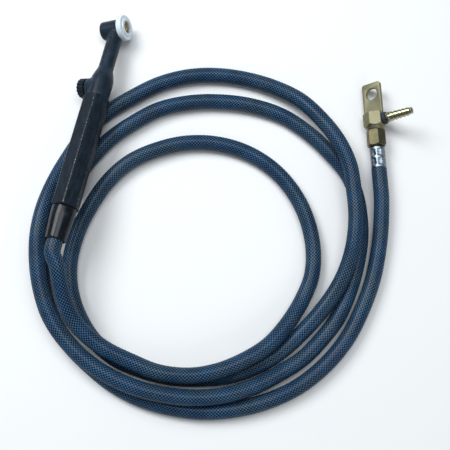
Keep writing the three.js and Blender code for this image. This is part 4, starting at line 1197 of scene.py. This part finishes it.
class BuildConnector(bpy.types.Operator):
    """Makes the ferrule, union nut, lug block, side seal and gas barb"""

    bl_idname = "torch.connector"
    bl_label = "Connector"

    def execute(self, context):
        colours = context.scene.torch_colours
        # the lug's brass, with painted shade on its convex edges (edge below 1)
        dull = metal_material("dull_brass", colours.brass, 0.52, LUG, edge=0.6)
        # the nut is the same brass with painted shade: its colour is darkened to 0.42 and its edges also get
        # painted shade
        nut = metal_material("nut_brass_painted_shade", shade(colours.brass, 0.42), 0.5, CONNECTOR, 0.45, edge=0.8)
        barb = metal_material("barb_brass", shade(colours.brass, 1.45), 0.26, SIDE, 0.25)
        seal = rubber_material("seal_blue_grey", (0.03, 0.045, 0.07), 0.45, 3)
        new_piece("ferrule_crimped", ferrule_mesh(), crimped_material(), ["ferrule"])
        new_piece("union_nut_turned", union_nut_mesh(), nut, ["union_nut"])
        new_piece("lug_block_milled", lug_block_mesh(), dull, ["lug_block"])
        new_piece("barb_seal_ring", seal_mesh(), seal, ["barb_seal"])
        new_piece("gas_barb_turned", barb_mesh(), barb, ["gas_barb"])
        return {"FINISHED"}


class BuildHose(bpy.types.Operator):
    """Makes the braided hose in its coil and the stretch of it that the handle holds"""

    bl_idname = "torch.hose"
    bl_label = "Hose"

    def execute(self, context):
        sizes = context.scene.torch_sizes
        braid = braid_material(context.scene.torch_colours)
        way_out = along(TORCH, HELD_HOSE_START - GAP)
        route = [way_out, along(TORCH, 0), *HOSE_ROUTE, along(CONNECTOR, -GAP)]
        mesh, centres, length = braided_tube("hose", route, sizes)
        hose = new_piece("hose_braided", mesh, braid, ["hose"])
        [c * MM for c in way_out]
        middle = (HELD_HOSE_START + HELD_HOSE_END) / 2
        held = [along(TORCH, distance) for distance in (HELD_HOSE_START, middle, HELD_HOSE_END)]
        mesh = braided_tube("held_hose", held, sizes)[0]
        new_piece("held_hose_braided", mesh, braid, ["held_hose"])
        return {"FINISHED"}


class BuildHandle(bpy.types.Operator):
    """Makes the handle and the rear sleeve"""

    bl_idname = "torch.handle"
    bl_label = "Handle and sleeve"

    def execute(self, context):
        plastic = handle_material(context.scene.torch_colours)
        new_piece("handle_moulded", handle_mesh(), plastic, ["handle"])
        new_piece("rear_sleeve_moulded", sleeve_mesh(), sleeve_material(), ["rear_sleeve"])
        return {"FINISHED"}


class BuildHead(bpy.types.Operator):
    """Makes the moulded body, the white ring and the threaded core"""

    bl_idname = "torch.head"
    bl_label = "Head"

    def execute(self, context):
        colours = context.scene.torch_colours
        rubber = rubber_material("body_rubber", colours.rubber, 0.4, 0)
        core = metal_material("core_brass", (0.50, 0.38, 0.20), 0.4, HEAD, 0.6, (0.10, 0.07, 0.04))
        body = torch_body(context.scene.torch_sizes)
        new_piece("torch_body_moulded", body, rubber, ["torch_body"])
        new_piece("gasket_turned", gasket_mesh(), ptfe_material(colours), ["gasket"])
        new_piece("head_core_threaded", head_core_mesh(), core, ["head_core"])
        return {"FINISHED"}


class BuildValve(bpy.types.Operator):
    """Makes the ribbed knob and its screw"""

    bl_idname = "torch.valve"
    bl_label = "Valve knob"

    def execute(self, context):
        knob = rubber_material("knob_plastic", context.scene.torch_colours.plastic, 0.38, 7)
        steel = metal_material("screw_steel", (0.48, 0.49, 0.51), 0.32, VALVE, 0.3, (0.2, 0.2, 0.2))
        ribbed = knob_mesh(context.scene.torch_sizes)
        new_piece("valve_knob_ribbed", ribbed, knob, ["valve_knob"], "knob")
        new_piece("knob_screw_slotted", screw_mesh(), steel, ["knob_screw"], "knob")
        return {"FINISHED"}


class DressInnerPieces(bpy.types.Operator):
    """Gives the pieces inside the torch their finishes"""

    bl_idname = "torch.inner"
    bl_label = "Inner pieces"

    def execute(self, context):
        brass = metal_material("fitting_brass", (0.62, 0.50, 0.24), 0.3, ROLLED)
        copper = metal_material("neck_copper", (0.75, 0.42, 0.28), 0.3, ROLLED, 0.3, (0.3, 0.14, 0.08))
        silver = metal_material("inner_silver", (0.70, 0.72, 0.75), 0.3, TORCH, 0.2, (0.4, 0.4, 0.42))
        seal = rubber_material("packing_rubber", (0.015, 0.015, 0.016), 0.6, 5)
        white = ptfe_material(context.scene.torch_colours)
        finishes = {
            "neck_tube": copper, "valve_block": brass, "valve_seat": white, "valve_packing": seal,
            "gland_nut": brass, "valve_needle": brass, "torch_tail": brass, "tail_nut": brass,
            "torch_ferrule": silver, "power_cable": strand_material(), "machine_spigot": brass,
        }
        for name, material in finishes.items():
            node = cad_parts[name]
            for slot in node.material_slots:
                slot.material = material
        return {"FINISHED"}


class TorchPanel(bpy.types.Panel):
    """Lists the torch's builders"""

    bl_idname = "VIEW3D_PT_torch"
    bl_label = "Welding torch"
    bl_space_type = "VIEW_3D"
    bl_region_type = "UI"
    bl_category = "Torch"

    def draw(self, context):
        for group in (context.scene.torch_sizes, context.scene.torch_colours, context.scene.torch_stage):
            box = self.layout.box()
            for key in group.__annotations__:
                box.prop(group, key)
        for operator in OPERATORS:
            self.layout.operator(operator.bl_idname)


OPERATORS = (BuildStage, BuildConnector, BuildHose, BuildHandle, BuildHead, BuildValve, DressInnerPieces)
GROUPS = {"torch_sizes": TorchSizes, "torch_colours": TorchColours, "torch_stage": TorchStage}


def register():
    for group in GROUPS.values():
        bpy.utils.register_class(group)
    for operator in OPERATORS:
        bpy.utils.register_class(operator)
    bpy.utils.register_class(TorchPanel)
    for name, group in GROUPS.items():
        setattr(bpy.types.Scene, name, bpy.props.PointerProperty(type=group))


def unregister():
    for name in GROUPS:
        delattr(bpy.types.Scene, name)
    for item in (TorchPanel, *OPERATORS, *GROUPS.values()):
        bpy.utils.unregister_class(item)


def main():
    register()
    for operator in OPERATORS:
        family, name = operator.bl_idname.split(".")
        getattr(getattr(bpy.ops, family), name)()


if __name__ == "__main__":
    main()
